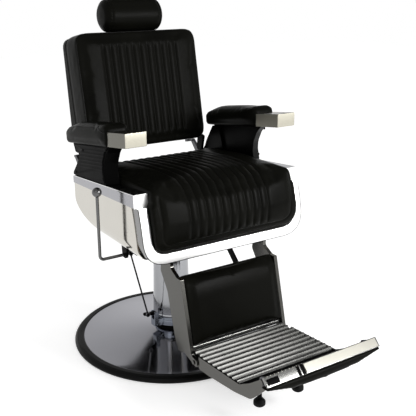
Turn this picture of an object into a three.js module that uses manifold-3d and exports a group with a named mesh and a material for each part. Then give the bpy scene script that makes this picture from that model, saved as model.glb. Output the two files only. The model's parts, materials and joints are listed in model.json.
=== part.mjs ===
// Hydraulic barber chair: round weighted base, hydraulic column, U-shaped seat shell with a chrome front trim,
// reclining back with a sliding headrest, and a leg rest with a ribbed foot plate and a flip-over kick plate.
// Units are millimetres. +Z is up, the sitter faces -Y, and the origin is on the floor under the column.
import * as THREE from "three";
import { mergeVertices } from "three/addons/utils/BufferGeometryUtils.js";
import Module from "manifold-3d";

const wasm = await Module();
wasm.setup();

// ---------------------------------------------------------------- driving dimensions
const GAP = 0.3; // between pieces that touch
const RUN = 0.4; // radial clearance of a pin or shaft that turns in an eye

// base
const BASE_RADIUS = 340;
const RIM_WIDTH = 32;
const RIM_HEIGHT = 20;
const PLATE_THICK = 12;
const DISH_WALL = 3;
const DISH_RISE = 34;
const SOCKET_RADIUS = 60;
const SOCKET_TOP = 57;
const SLEEVE_RADIUS = 50;
const SLEEVE_WALL = 4;
const SLEEVE_TOP = 260;

// hydraulic column
const LIFT = 150;
const RAM_RADIUS = 18;
const PISTON_RADIUS = 23.6;
const PISTON_THICK = 16;
const CYLINDER_WALL = 8;
const CYLINDER_GLAND = 16;
const BEARING_THICK = 7;
const FOOT_THICK = 12;
const COVER_TOP_RADIUS = 57;
const COVER_FOOT_RADIUS = 64;
const COVER_WALL = 3;
const COLLAR_HEIGHT = 34;
const COLLAR_RADIUS = 62;
const COLUMN_TOP = 430;

// seat frame
const MOUNT_THICK = 8;
const MOUNT_WIDTH = 270;
const MOUNT_DEPTH = 240;
const BEAM_X = 120;
const BEAM_WIDTH = 30;
const BEAM_HEIGHT = 55;
const CROSS_SIZE = 25;
const CROSS_FRONT_Y = -228;
const CROSS_REAR_Y = 78;
const BOARD_THICK = 12;

// seat shell and rails
const SHELL_HALF = 287;
const SHELL_WALL = 3;
const SHELL_BOTTOM = 441;
const SHELL_CORNER = 78;
const SHELL_RETURN = 92;
const SHELL_REAR_Y = 118;
const SHELL_REAR_CURVE = 85; // the rear lower corner sweeps forward from this height
const SHELL_REAR_SWEEP = 205;
const RAIL_LAP = 3; // how far the rail stands out past the shell
const RAIL_WIDTH = 43;
const RAIL_OUT = SHELL_HALF + RAIL_LAP;
const RAIL_IN = RAIL_OUT - RAIL_WIDTH;
const RAIL_HEIGHT = 39; // at its front end; it tapers towards the rear
const RAIL_REAR_HEIGHT = 24;
const RAIL_FRONT_Y = -304;
const RAIL_FRONT_Z = 598;
const RAIL_DROP = 37; // how far its top falls from front to rear
const RAIL_RAKE = 3;

// front trim: a U-shaped band that leans forward towards its foot
const TRIM_SET_IN = 2; // the trim's outside lies this far inside the shell's
const TRIM_HALF = SHELL_HALF - TRIM_SET_IN;
const TRIM_BOTTOM = 432;
const TRIM_BAND = 31;
const TRIM_DEPTH = 36;
const TRIM_FOOT_Y = -348;
const TRIM_LEAN = 30;

// seat cushion
const SEAT_CROWN = 658;
const SEAT_REAR_Z = 624;
const SEAT_REAR_Y = 112;
const SEAT_NOSE_Y = -359;
const SEAT_CREST_Y = -250; // where the cushion stands highest
const SEAT_MIDDLE_Y = -90;
const SEAT_MIDDLE_Z = 646;
const SEAT_SIDE_DROP = 12;
const SEAT_CREST_ROUND = 60;
const SEAT_TOP_ROUND = 150;
const SEAT_CROSS_ROUND = 220;

// arms
const ARM_FRONT_Y = -278;
const ARM_FRONT_Z = 764;
const ARM_SLOPE = THREE.MathUtils.degToRad(7.8);
const BLOCK_LAP = 10; // how far the block stands out past the shell
const BLOCK_WIDTH = 67;
const BLOCK_OUT = SHELL_HALF + BLOCK_LAP;
const BLOCK_IN = BLOCK_OUT - BLOCK_WIDTH;
const BLOCK_HEIGHT = 42;
const BLOCK_LENGTH = 112;
const PAD_LAP = 13;
const PAD_WIDTH = 71;
const PAD_OUT = SHELL_HALF + PAD_LAP;
const PAD_IN = PAD_OUT - PAD_WIDTH;
const PAD_HEIGHT = 60;
const PAD_LENGTH = 300;
const PILLAR_OUT = SHELL_HALF - TRIM_SET_IN;
const PILLAR_FOOT_FRONT = -138;
const PILLAR_WAIST_FRONT = -129;
const PILLAR_WAIST_REAR = 68;
const PILLAR_NOSE = -168; // front end of the pillar's head
const PILLAR_SLANT = 20; // how much further back its front face lies on the outer side
const PILLAR_TOP_REAR = 105;
const PILLAR_HEAD = 32;
const PANEL_THICK = 4;
const PANEL_INSET = 4;
const SCREW_RADIUS = 4;

// back and headrest
const RECLINE_Y = 165;
const RECLINE_Z = 575;
const BACK_TILT = THREE.MathUtils.degToRad(11.5);
const BACK_FOOT_Y = 122;
const BACK_FOOT_Z = 665;
const BACK_SIDE_CLEAR = 6; // between the back and each arm pad
const BACK_HALF = PAD_IN - BACK_SIDE_CLEAR;
const BACK_HEIGHT = 380;
const BACK_CORNER = 34;
const BACK_PAD = 84;
const BACK_BOARD = 12;
const BACK_COVER = 21; // depth round the hinge straps
const COVER_DEPTH_TOP = 17;
const COVER_DEPTH_FOOT = 45;
const COVER_SHEET = 4;
const BACK_ARM_X = RAIL_IN - 21;
const STRAP_X = BACK_HALF - 19;
const STRAP_LENGTH = 190;
const BACK_ARM_THICK = 10;
const BACK_ARM_WIDTH = 30;
const BACK_LEVER = 34;
const CROSS_TUBE_RADIUS = 8;
const PIN_RADIUS = 6;
const HEAD_RADIUS = 56;
const HEAD_HALF = 111;
const HEAD_SET_BACK = 38;
const HEAD_BACK = 84; // depth of the bolster's flat back
const HEAD_SLIDE = 100;
const POST_X = 52;
const POST_WIDTH = 22;
const POST_THICK = 6;

// pump lever
const LEVER_X = -(RAIL_OUT + 40);
const LEVER_Y = -150;
const LEVER_Z = 404;
const LEVER_RADIUS = 4.8;
const LEVER_HEIGHT = 211;
const LEVER_BEND = 12;
const LEVER_INNER_X = -196;
const KNOB_RADIUS = 14.5;
const CRANK_X = -228;
const CRANK_ARM = 22;
const LINK_RADIUS = 3;
const VALVE_Y = -20;
const VALVE_PIVOT_X = -80;
const VALVE_PIVOT_Z = 108;
const VALVE_ARM = 30;

// leg rest
const LEG_PIVOT_Y = -285;
const LEG_PIVOT_Z = 420;
const LEG_IN = 165;
const LEG_OUT = 177;
const LEG_EYE = 20;
const LEG_TOP_Y = -359;
const LEG_TOP_Z = 377;
const LEG_FOOT_Y = -410;
const LEG_FOOT_Z = 176;
const LEG_DEPTH = 92;
const CALF_THICK = 30;
const CALF_BACKING = 6;
const LINK_X = 62;
const LINK_WIDTH = 20;
const LINK_THICK = 6;
const LINK_FRONT_Y = -312;
const LINK_FRONT_Z = 352;

// foot plate
const FOOT_PIVOT_Y = -428;
const FOOT_PIVOT_Z = 144;
const TOE_Y = -445;
const RIB_COUNT = 10;
const RIB_PITCH = 24;
const RIB_HEIGHT = 10;
const RIB_WIDTH = 13;
const RIB_FIRST_Y = -413;
const RIB_FIRST_Z = 171;
const TREAD_HALF = 168;
const TREAD_THICK = 4;
const TREAD_SLOPE = THREE.MathUtils.degToRad(4);
const SIDE_THICK = 4;
const KICK_Y = -750;
const KICK_Z = 243;
const BUMPER_X = 70;
const BUMPER_Y = -605;
const BUMPER_FOOT_Z = 60;
const BUMPER_RADIUS = 17.5;
const BUMPER_HEIGHT = 22;
const STEM_RADIUS = 7;

// kick plate
const BAR_HALF = 192;
const BAR_TOP_Y = -775;
const BAR_TOP_Z = 274;
const BAR_FACE = 28;
const BAR_THICK = 9;
const EAR_THICK = 4;
const KICK_PIN_RADIUS = 5;
const PLATE_FROM_X = -67;
const PLATE_TO_X = 186;
const PLATE_SHEET = 1.5;
const KICK_PAD_HALF = 200;
const KICK_PAD_SAG = 32;
const KICK_PAD_THICK = 26;

// ---------------------------------------------------------------- shape helpers
const DISC_SIDES = 48; // facets round the base's large turned pieces
const TURN_SIDES = 36; // facets round the other turned pieces
const V2 = (x, y) => new THREE.Vector2(x, y);

// A closed solid from a three.js geometry, ready to be joined or cut.
function solid(geometry) {
  const bare = geometry.index ? geometry.toNonIndexed() : geometry.clone();
  bare.deleteAttribute("normal");
  bare.deleteAttribute("uv");
  const merged = mergeVertices(bare, 1e-3);
  const mesh = new wasm.Mesh({
    numProp: 3,
    vertProperties: new Float32Array(merged.attributes.position.array),
    triVerts: new Uint32Array(merged.index.array),
  });
  return new wasm.Manifold(mesh);
}

function join(...solids) {
  return solids.reduce((sum, s) => sum.add(s));
}

function cut(from, ...tools) {
  return tools.reduce((rest, tool) => rest.subtract(tool), from);
}

function toGeometry(shape) {
  const mesh = shape.getMesh();
  const positions = new Float32Array(mesh.numVert * 3);
  for (let i = 0; i < mesh.numVert; i++) {
    positions.set(mesh.vertProperties.subarray(i * mesh.numProp, i * mesh.numProp + 3), i * 3);
  }
  const geometry = new THREE.BufferGeometry();
  geometry.setAttribute("position", new THREE.BufferAttribute(positions, 3));
  geometry.setIndex(new THREE.BufferAttribute(new Uint32Array(mesh.triVerts), 1));
  const flat = geometry.toNonIndexed();
  flat.computeVertexNormals();
  return flat;
}

// An outline with its corners rounded. Each point is [a, b] or [a, b, radius].
function outline(points, curveSteps = 4) {
  const path = [];
  const count = points.length;
  for (let i = 0; i < count; i++) {
    const [a, b, radius = 0] = points[i];
    const here = V2(a, b);
    const before = V2(...points[(i + count - 1) % count].slice(0, 2)).sub(here);
    const after = V2(...points[(i + 1) % count].slice(0, 2)).sub(here);
    const turn = Math.abs(before.angleTo(after));
    const reach = Math.min(radius / Math.tan(turn / 2), before.length() * 0.49, after.length() * 0.49);
    if (radius === 0 || reach < 0.05) {
      path.push(here);
      continue;
    }
    const start = here.clone().addScaledVector(before.normalize(), reach);
    const end = here.clone().addScaledVector(after.normalize(), reach);
    const arc = new THREE.QuadraticBezierCurve(start, here, end);
    path.push(...arc.getPoints(curveSteps));
  }
  return new THREE.Shape(path);
}

// Runs an outline drawn in two axes along the third one, from low to high.
function prism(shape, axes, low, high) {
  const geometry = new THREE.ExtrudeGeometry(shape, { depth: high - low, bevelEnabled: false });
  const [right, up, along] = axes;
  const basis = new THREE.Matrix4().makeBasis(right, up, along);
  geometry.applyMatrix4(basis);
  geometry.translate(along.x * low, along.y * low, along.z * low);
  return solid(geometry);
}

const X = new THREE.Vector3(1, 0, 0);
const Y = new THREE.Vector3(0, 1, 0);
const Z = new THREE.Vector3(0, 0, 1);
const sideways = (shape, x0, x1) => prism(shape, [Y, Z, X], Math.min(x0, x1), Math.max(x0, x1));
const flatwise = (shape, z0, z1) => prism(shape, [X, Y, Z], z0, z1);
const frontwise = (shape, y0, y1) => prism(shape, [X, Z, Y.clone().negate()], -y1, -y0);

function box(x0, x1, y0, y1, z0, z1) {
  const geometry = new THREE.BoxGeometry(Math.abs(x1 - x0), y1 - y0, z1 - z0);
  geometry.translate((x0 + x1) / 2, (y0 + y1) / 2, (z0 + z1) / 2);
  return solid(geometry);
}

// A round bar between two points.
function bar(from, to, radius, sides = 16) {
  const start = new THREE.Vector3(...from);
  const end = new THREE.Vector3(...to);
  const geometry = new THREE.CylinderGeometry(radius, radius, start.distanceTo(end), sides);
  const turn = new THREE.Quaternion().setFromUnitVectors(Y, end.clone().sub(start).normalize());
  geometry.applyQuaternion(turn);
  const middle = start.add(end).multiplyScalar(0.5);
  geometry.translate(middle.x, middle.y, middle.z);
  return solid(geometry);
}

const crossBar = (x0, x1, y, z, radius, sides = 16) => bar([x0, y, z], [x1, y, z], radius, sides);

// A solid of revolution about the column's axis. Profile points are [radius, height].
function turned(profile, sides = TURN_SIDES) {
  const geometry = new THREE.LatheGeometry(profile.map(([r, z]) => V2(r, z)), sides);
  geometry.rotateX(Math.PI / 2);
  return solid(geometry);
}

// A hollow turned ring from four sizes.
const ring = (inner, outer, z0, z1) => turned([[inner, z0], [outer, z0], [outer, z1], [inner, z1], [inner, z0]]);

const disc = (radius, z0, z1) => turned([[0, z0], [radius, z0], [radius, z1], [0, z1]], DISC_SIDES);

const ball = (x, y, z, radius, sides = 12) => {
  const geometry = new THREE.SphereGeometry(radius, sides, sides / 2);
  geometry.translate(x, y, z);
  return solid(geometry);
};

// ---------------------------------------------------------------- materials
const finish = (color, roughness, metalness) => new THREE.MeshStandardMaterial({ color, roughness, metalness });
const chrome = () => finish(0xc9cbd0, 0.12, 1);
const mirrorSheet = () => finish(0xd6d3cb, 0.18, 1);
const steel = () => finish(0x8c8d90, 0.35, 1);
const darkChrome = () => finish(0x8a857f, 0.22, 1);
const blackPaint = () => finish(0x16171a, 0.4, 0.2);
const castIron = () => finish(0x2a2b2d, 0.7, 0.4);
const rubber = () => finish(0x111112, 0.75, 0);
const leather = () => finish(0x14140f, 0.42, 0);
const plywood = () => finish(0x9a7b52, 0.8, 0);
const blackPlastic = () => finish(0x17181a, 0.45, 0);
const brushedPlate = () => finish(0xe3dfd2, 0.3, 0.9);

// ---------------------------------------------------------------- base
const plateRadius = BASE_RADIUS - RIM_WIDTH - GAP;
const socketFoot = PLATE_THICK + GAP;
const sleeveBore = SLEEVE_RADIUS - SLEEVE_WALL;

function basePlate() {
  return disc(plateRadius, 0, PLATE_THICK);
}

function baseRim() {
  const inner = BASE_RADIUS - RIM_WIDTH;
  const profile = [
    [inner, 0],
    [BASE_RADIUS - 4, 0],
    [BASE_RADIUS, 4],
    [BASE_RADIUS, RIM_HEIGHT * 0.45],
    [BASE_RADIUS - 6, RIM_HEIGHT * 0.8],
    [BASE_RADIUS - 14, RIM_HEIGHT],
    [inner + 3, RIM_HEIGHT],
    [inner, RIM_HEIGHT - 2],
    [inner, 0],
  ];
  return turned(profile, DISC_SIDES);
}

// Height of the dish's top surface: flat near the rim, rising to the socket.
function dishHeight(radius) {
  const inward = (plateRadius - radius) / (plateRadius - SOCKET_RADIUS);
  return PLATE_THICK + GAP + DISH_WALL + 3 + (DISH_RISE - 6) * inward ** 1.25;
}

function baseDish() {
  const inner = SOCKET_RADIUS + GAP;
  const steps = 4;
  const top = [];
  const under = [];
  for (let i = 0; i <= steps; i++) {
    const radius = plateRadius + (inner - plateRadius) * (i / steps);
    top.push([radius, dishHeight(radius)]);
    under.unshift([radius, i === 0 ? PLATE_THICK + GAP : dishHeight(radius) - DISH_WALL]);
  }
  return turned([...top, ...under, top[0]], DISC_SIDES);
}

function baseSocket() {
  const bore = SLEEVE_RADIUS + GAP;
  const profile = [
    [bore, socketFoot],
    [SOCKET_RADIUS, socketFoot],
    [SOCKET_RADIUS, SOCKET_TOP - 7],
    [SOCKET_RADIUS - 4, SOCKET_TOP - 2],
    [bore + 1, SOCKET_TOP],
    [bore, SOCKET_TOP - 1],
    [bore, socketFoot],
  ];
  return turned(profile);
}

function baseSleeve() {
  return ring(sleeveBore, SLEEVE_RADIUS, socketFoot, SLEEVE_TOP);
}

// ---------------------------------------------------------------- ram and pump
const footLow = socketFoot + BEARING_THICK + GAP;
const cylinderBore = PISTON_RADIUS + RUN;
const cylinderTop = COLUMN_TOP - GAP;
const pistonTop = cylinderTop - 14;
const glandLow = pistonTop - PISTON_THICK - LIFT - CYLINDER_GLAND - 6;
const coverFoot = SOCKET_TOP + GAP + COLLAR_HEIGHT + GAP;

function thrustBearing() {
  return ring(RAM_RADIUS, sleeveBore - 3, socketFoot, socketFoot + BEARING_THICK);
}

function ram() {
  const foot = sleeveBore - RUN;
  const profile = [
    [0, footLow],
    [foot, footLow],
    [foot, footLow + FOOT_THICK],
    [RAM_RADIUS, footLow + FOOT_THICK + 6],
    [RAM_RADIUS, pistonTop - PISTON_THICK],
    [PISTON_RADIUS, pistonTop - PISTON_THICK],
    [PISTON_RADIUS, pistonTop],
    [0, pistonTop],
  ];
  return turned(profile, 28);
}

function pumpCylinder() {
  const outer = cylinderBore + CYLINDER_WALL;
  const profile = [
    [RAM_RADIUS + RUN, glandLow],
    [outer, glandLow],
    [outer, cylinderTop],
    [0, cylinderTop],
    [0, cylinderTop - 10],
    [cylinderBore, cylinderTop - 10],
    [cylinderBore, glandLow + CYLINDER_GLAND],
    [RAM_RADIUS + RUN, glandLow + CYLINDER_GLAND],
    [RAM_RADIUS + RUN, glandLow],
  ];
  return turned(profile, 28);
}

function columnCover() {
  const top = cylinderTop;
  const profile = [
    [COVER_FOOT_RADIUS - COVER_WALL, coverFoot],
    [COVER_FOOT_RADIUS, coverFoot],
    [COVER_TOP_RADIUS, top],
    [COVER_TOP_RADIUS - COVER_WALL, top],
    [COVER_FOOT_RADIUS - COVER_WALL, coverFoot],
  ];
  return turned(profile);
}

const collarLow = SOCKET_TOP + GAP;
const collarTop = collarLow + COLLAR_HEIGHT;

// Collar under the cover, with the valve box and its two ears on the lever side.
function pumpCollar() {
  const bore = SLEEVE_RADIUS + 1;
  const profile = [
    [bore, collarLow],
    [COLLAR_RADIUS - 3, collarLow],
    [COLLAR_RADIUS, collarLow + 3],
    [COLLAR_RADIUS, collarTop - 3],
    [COLLAR_RADIUS - 3, collarTop],
    [bore, collarTop],
    [bore, collarLow],
  ];
  const body = turned(profile);
  const boxOut = VALVE_PIVOT_X - 6;
  const valveBox = box(boxOut, -SLEEVE_RADIUS - 4, VALVE_Y - 14, VALVE_Y + 14, collarLow + 6, collarTop - 4);
  const ear = (y0) => box(boxOut, VALVE_PIVOT_X + 8, y0, y0 + 5, collarTop - 8, VALVE_PIVOT_Z + 7);
  const pin = bar([VALVE_PIVOT_X, VALVE_Y - 14, VALVE_PIVOT_Z], [VALVE_PIVOT_X, VALVE_Y + 14, VALVE_PIVOT_Z], 2.5, 12);
  return join(body, valveBox, ear(VALVE_Y - 14), ear(VALVE_Y + 9), pin);
}

function valveArm() {
  const tip = VALVE_PIVOT_X - VALVE_ARM;
  const tipZ = VALVE_PIVOT_Z + 6;
  const blade = frontwise(
    outline([
      [VALVE_PIVOT_X + 6, VALVE_PIVOT_Z - 6, 5],
      [VALVE_PIVOT_X + 6, VALVE_PIVOT_Z + 6, 5],
      [tip - 12, tipZ + 5, 4],
      [tip - 12, tipZ - 5, 4],
    ]),
    VALVE_Y - 4,
    VALVE_Y + 4,
  );
  const pivotHole = bar([VALVE_PIVOT_X, VALVE_Y - 9, VALVE_PIVOT_Z], [VALVE_PIVOT_X, VALVE_Y + 9, VALVE_PIVOT_Z], 2.5 + RUN, 12);
  const peg = bar([tip, VALVE_Y - 14, tipZ], [tip, VALVE_Y, tipZ], 2.5, 12);
  return join(cut(blade, pivotHole), peg);
}

// ---------------------------------------------------------------- seat frame and shell
const mountTop = COLUMN_TOP + MOUNT_THICK;
const beamLow = mountTop - 1;
const beamTop = beamLow + BEAM_HEIGHT;
const crossTop = beamTop + CROSS_SIZE - 0.5;
const boardLow = crossTop + GAP;
const boardTop = boardLow + BOARD_THICK;
const railShare = (y) => (y - RAIL_FRONT_Y) / (SHELL_REAR_Y - RAIL_FRONT_Y);
const railTop = (y) => RAIL_FRONT_Z + RAIL_HEIGHT - RAIL_DROP * railShare(y);
const railBottom = (y) => railTop(y) - RAIL_HEIGHT + (RAIL_HEIGHT - RAIL_REAR_HEIGHT) * railShare(y);

// Plate on top of the column, with the two channel beams welded to it.
function seatMount() {
  const half = MOUNT_WIDTH / 2;
  const deep = MOUNT_DEPTH / 2;
  const corners = [[-half, -deep, 18], [half, -deep, 18], [half, deep, 18], [-half, deep, 18]];
  const plate = flatwise(outline(corners), COLUMN_TOP, mountTop);
  return join(plate, frameBeam(1), frameBeam(-1));
}

function frameBeam(side) {
  const x0 = side * BEAM_X - BEAM_WIDTH / 2;
  const x1 = x0 + BEAM_WIDTH;
  const beam = box(x0, x1, CROSS_FRONT_Y - 20, CROSS_REAR_Y + 20, beamLow, beamTop - GAP);
  const channel = box(x0 + 3, x1 - 3, CROSS_FRONT_Y - 30, CROSS_REAR_Y + 30, beamLow - 5, beamTop - GAP - 3);
  return cut(beam, channel);
}

// A cross member that carries the seat board and turns up at each end to the rail.
function frameCross(y) {
  const y0 = y - CROSS_SIZE / 2;
  const y1 = y + CROSS_SIZE / 2;
  const out = SHELL_HALF - SHELL_WALL - 4;
  const up = out - CROSS_SIZE;
  const foot = box(-out, out, y0, y1, beamTop, crossTop);
  const top = railBottom(y1) - GAP;
  const post = (side) => box(side * up, side * out, y0, y1, beamTop + 1, top);
  return join(foot, post(1), post(-1));
}

// Two hinge plates that hang from the front cross member and carry a leg rest pin.
function legBracket(side) {
  const inner = side * (LEG_IN - 13);
  const outer = side * (LEG_IN - 5);
  const top = beamTop + 1;
  const plate = sideways(
    outline([
      [CROSS_FRONT_Y - CROSS_SIZE / 2, top],
      [CROSS_FRONT_Y + CROSS_SIZE / 2 + 20, top],
      [LEG_PIVOT_Y + LEG_EYE, LEG_PIVOT_Z - LEG_EYE * 0.8, 12],
      [LEG_PIVOT_Y - LEG_EYE + 2, LEG_PIVOT_Z - LEG_EYE * 0.8, 12],
      [LEG_PIVOT_Y - LEG_EYE + 2, LEG_PIVOT_Z + LEG_EYE, 8],
    ]),
    inner,
    outer,
  );
  const flange = box(inner, side * (LEG_IN - 28), CROSS_FRONT_Y - CROSS_SIZE / 2, CROSS_FRONT_Y + CROSS_SIZE / 2, top - 5, top);
  const pin = crossBar(inner, side * (LEG_OUT + 4), LEG_PIVOT_Y, LEG_PIVOT_Z, PIN_RADIUS);
  const head = crossBar(side * (LEG_OUT + GAP + 0.2), side * (LEG_OUT + 5), LEG_PIVOT_Y, LEG_PIVOT_Z, PIN_RADIUS + 4);
  return join(plate, flange, pin, head);
}

function frameCrossFront() {
  return join(frameCross(CROSS_FRONT_Y), legBracket(1), legBracket(-1));
}

// Height of a point on the trim's leaning front, as a depth in Y.
const trimFront = (z) => {
  const rise = Math.max(0, (z - TRIM_BOTTOM) / (RAIL_FRONT_Z - TRIM_BOTTOM));
  return TRIM_FOOT_Y + TRIM_LEAN * rise ** 1.8;
};
const trimRear = (z) => trimFront(z) + TRIM_DEPTH;

// The trim's front line, sampled from its foot to the rail.
function leaningLine(depth, low, high, steps = 8) {
  const points = [];
  for (let i = 0; i <= steps; i++) {
    const z = low + ((high - low) * i) / steps;
    points.push([trimFront(z) + depth, z]);
  }
  return points;
}

// A U-shaped section, open at the top.
function uSection(half, bottom, wall, corner, top) {
  const inner = half - wall;
  const innerCorner = Math.max(corner - wall, 1);
  return outline(
    [
      [-half, top],
      [-half, bottom, corner],
      [half, bottom, corner],
      [half, top],
      [inner, top],
      [inner, bottom + wall, innerCorner],
      [-inner, bottom + wall, innerCorner],
      [-inner, top],
    ],
    8,
  );
}

function frontTrim() {
  const top = RAIL_FRONT_Z + RAIL_HEIGHT;
  const band = frontwise(uSection(TRIM_HALF, TRIM_BOTTOM, TRIM_BAND, SHELL_CORNER, top), TRIM_FOOT_Y - 10, TRIM_FOOT_Y + 120);
  const front = leaningLine(0, TRIM_BOTTOM - 5, RAIL_FRONT_Z - GAP);
  const rearTop = trimRear(RAIL_FRONT_Z);
  const rear = leaningLine(TRIM_DEPTH, TRIM_BOTTOM - 5, railBottom(rearTop) - GAP).reverse();
  const slab = sideways(new THREE.Shape([...front, ...rear].map((p) => V2(...p))), -TRIM_HALF - 5, TRIM_HALF + 5);
  return band.intersect(slab);
}

// One side of the shell, cut from the U-shaped section so that its foot turns in under the seat.
function shellSide(side) {
  const section = uSection(SHELL_HALF, SHELL_BOTTOM, SHELL_WALL, SHELL_CORNER, RAIL_FRONT_Z + 40);
  const wrap = frontwise(section, TRIM_FOOT_Y, SHELL_REAR_Y);
  const front = leaningLine(TRIM_DEPTH + GAP, SHELL_BOTTOM - 5, railBottom(trimRear(RAIL_FRONT_Z)) - GAP);
  const rearTop = railBottom(SHELL_REAR_Y) - GAP;
  const sweep = [0, 0.17, 0.34, 0.51, 0.68, 0.84, 1].map((t) => [
    SHELL_REAR_Y - SHELL_REAR_SWEEP * t * t,
    SHELL_BOTTOM + SHELL_REAR_CURVE * (1 - t) - t,
  ]);
  const profile = [...front, [SHELL_REAR_Y, rearTop], ...sweep, [SHELL_REAR_Y - SHELL_REAR_SWEEP, SHELL_BOTTOM - 5]];
  const slab = sideways(new THREE.Shape(profile.map((p) => V2(...p))), side * 10, side * (SHELL_HALF + 5));
  const opening = box(side * 5, side * (SHELL_HALF - SHELL_RETURN), TRIM_FOOT_Y - 5, SHELL_REAR_Y + 5, SHELL_BOTTOM - 5, RAIL_FRONT_Z);
  return cut(wrap.intersect(slab), opening);
}

// Rear wall of the seat box; the recline link passes below it.
function shellRear() {
  const inner = SHELL_HALF - SHELL_WALL - GAP;
  const low = SHELL_BOTTOM + SHELL_REAR_CURVE;
  return box(-inner, inner, SHELL_REAR_Y - 4, SHELL_REAR_Y, low, railBottom(SHELL_REAR_Y) - GAP);
}

// A rail along the top of the shell's side; the margin grows it on every side.
function rail(side, margin = 0) {
  const y0 = RAIL_FRONT_Y - margin;
  const y1 = SHELL_REAR_Y + margin;
  return sideways(
    outline([
      [y0, railBottom(y0) - margin, 1.5],
      [y0 + RAIL_RAKE, railTop(y0 + RAIL_RAKE) + margin, 1.5],
      [y1, railTop(y1) + margin, 2],
      [y1, railBottom(y1) - margin, 2],
    ]),
    side * (RAIL_IN - margin),
    side * (RAIL_OUT + margin),
  );
}

function seatBoard() {
  const half = RAIL_IN - 1;
  const corners = [
    [-half, trimRear(boardLow) + GAP, 6],
    [half, trimRear(boardLow) + GAP, 6],
    [half, SEAT_REAR_Y, 20],
    [-half, SEAT_REAR_Y, 20],
  ];
  return flatwise(outline(corners), boardLow, boardTop);
}

function seatCushion() {
  const half = TRIM_HALF - TRIM_BAND - GAP;
  const floor = TRIM_BOTTOM + TRIM_BAND + GAP;
  const upper = RAIL_IN - GAP;
  const section = frontwise(
    outline(
      [
        [-half, floor, SHELL_CORNER - TRIM_BAND],
        [half, floor, SHELL_CORNER - TRIM_BAND],
        [half, RAIL_FRONT_Z + 4, 4],
        [upper, RAIL_FRONT_Z + 8, 4],
        [upper, SEAT_CROWN - SEAT_SIDE_DROP, 16],
        [0, SEAT_CROWN, SEAT_CROSS_ROUND],
        [-upper, SEAT_CROWN - SEAT_SIDE_DROP, 16],
        [-upper, RAIL_FRONT_Z + 8, 4],
        [-half, RAIL_FRONT_Z + 4, 4],
      ],
      6,
    ),
    SEAT_NOSE_Y - 5,
    SEAT_REAR_Y + 5,
  );
  const profile = outline(
    [
      [trimRear(floor) + GAP, floor],
      [trimRear(boardLow) + GAP - 4, boardLow - 20],
      [trimRear(boardLow) + GAP - 4, boardTop + GAP],
      [SEAT_REAR_Y, boardTop + GAP],
      [SEAT_REAR_Y, SEAT_REAR_Z, 22],
      [SEAT_MIDDLE_Y, SEAT_MIDDLE_Z, SEAT_TOP_ROUND],
      [SEAT_CREST_Y, SEAT_CROWN, SEAT_CREST_ROUND],
      [SEAT_NOSE_Y + 30, SEAT_CROWN - 8, 40],
      [SEAT_NOSE_Y, RAIL_FRONT_Z - 60, 50],
      [SEAT_NOSE_Y + 1, floor + 30, 30],
      [SEAT_NOSE_Y + 14, floor, 8],
    ],
    7,
  );
  const block = section.intersect(sideways(profile, -half - 5, half + 5));
  const clear = 2 * GAP;
  const beside = (side) => box(side * upper, side * (half + 5), trimRear(RAIL_FRONT_Z), SEAT_REAR_Y + 5, railBottom(SHELL_REAR_Y) - 4, SEAT_CROWN);
  return cut(block, rail(1, clear), rail(-1, clear), beside(1), beside(-1));
}

// ---------------------------------------------------------------- arms
const armTan = Math.tan(ARM_SLOPE);
const armBottom = (y) => ARM_FRONT_Z - (y - ARM_FRONT_Y) * armTan;
const blockRear = ARM_FRONT_Y + BLOCK_LENGTH;
const padRear = blockRear + GAP + PAD_LENGTH;

function armBlock(side) {
  return sideways(
    outline([
      [ARM_FRONT_Y, armBottom(ARM_FRONT_Y), 2],
      [ARM_FRONT_Y, armBottom(ARM_FRONT_Y) + BLOCK_HEIGHT, 2],
      [blockRear, armBottom(blockRear) + BLOCK_HEIGHT],
      [blockRear, armBottom(blockRear)],
    ]),
    side * BLOCK_IN,
    side * BLOCK_OUT,
  );
}

function armPad(side) {
  const y0 = blockRear + GAP;
  return sideways(
    outline([
      [y0, armBottom(y0)],
      [y0, armBottom(y0) + BLOCK_HEIGHT + 2, 4],
      [y0 + 62, armBottom(y0 + 62) + PAD_HEIGHT, 50],
      [padRear, armBottom(padRear) + PAD_HEIGHT - 4, 24],
      [padRear - 4, armBottom(padRear - 4), 10],
    ]),
    side * PAD_IN,
    side * PAD_OUT,
  );
}

// Side outline of the waisted arm pillar, drawn in from its edge by a margin.
function pillarOutline(margin) {
  const beam = (y) => armBottom(y) - GAP - margin;
  const head = PILLAR_HEAD;
  const nose = PILLAR_NOSE + margin;
  const foot = railTop(PILLAR_FOOT_FRONT) + GAP + margin;
  const rearFoot = railTop(SHELL_REAR_Y) + GAP + margin;
  const rearHead = armBottom(PILLAR_TOP_REAR) - head;
  return outline([
    [PILLAR_FOOT_FRONT + margin, foot],
    [PILLAR_WAIST_FRONT + margin, foot + 34, 40],
    [PILLAR_WAIST_FRONT - 2 + margin, foot + 66, 40],
    [nose + 20, armBottom(nose) - 26 + margin, 20],
    [nose, beam(nose) - 4],
    [nose, beam(nose)],
    [PILLAR_TOP_REAR - margin, beam(PILLAR_TOP_REAR)],
    [PILLAR_TOP_REAR - 12 - margin, rearHead + margin, 4],
    [PILLAR_WAIST_REAR - margin, rearHead + margin, 4],
    [PILLAR_WAIST_REAR - margin, rearHead - 14, 8],
    [SHELL_REAR_Y - margin, rearFoot + 8, 4],
    [SHELL_REAR_Y - margin, rearFoot],
  ]);
}

// Draws the front face back towards the outer side, along the arm above and the rail below.
const pillarWaistZ = (ARM_FRONT_Z + RAIL_FRONT_Z) / 2;
const slantFront = (shape) =>
  shape.warp((p) => {
    if (p[1] > 0) return;
    const back = (PILLAR_SLANT * (Math.abs(p[0]) - RAIL_IN)) / (PILLAR_OUT - RAIL_IN);
    p[1] += back;
    p[2] -= back * (p[2] > pillarWaistZ ? armTan : railTop(0) - railTop(1));
  });

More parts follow.
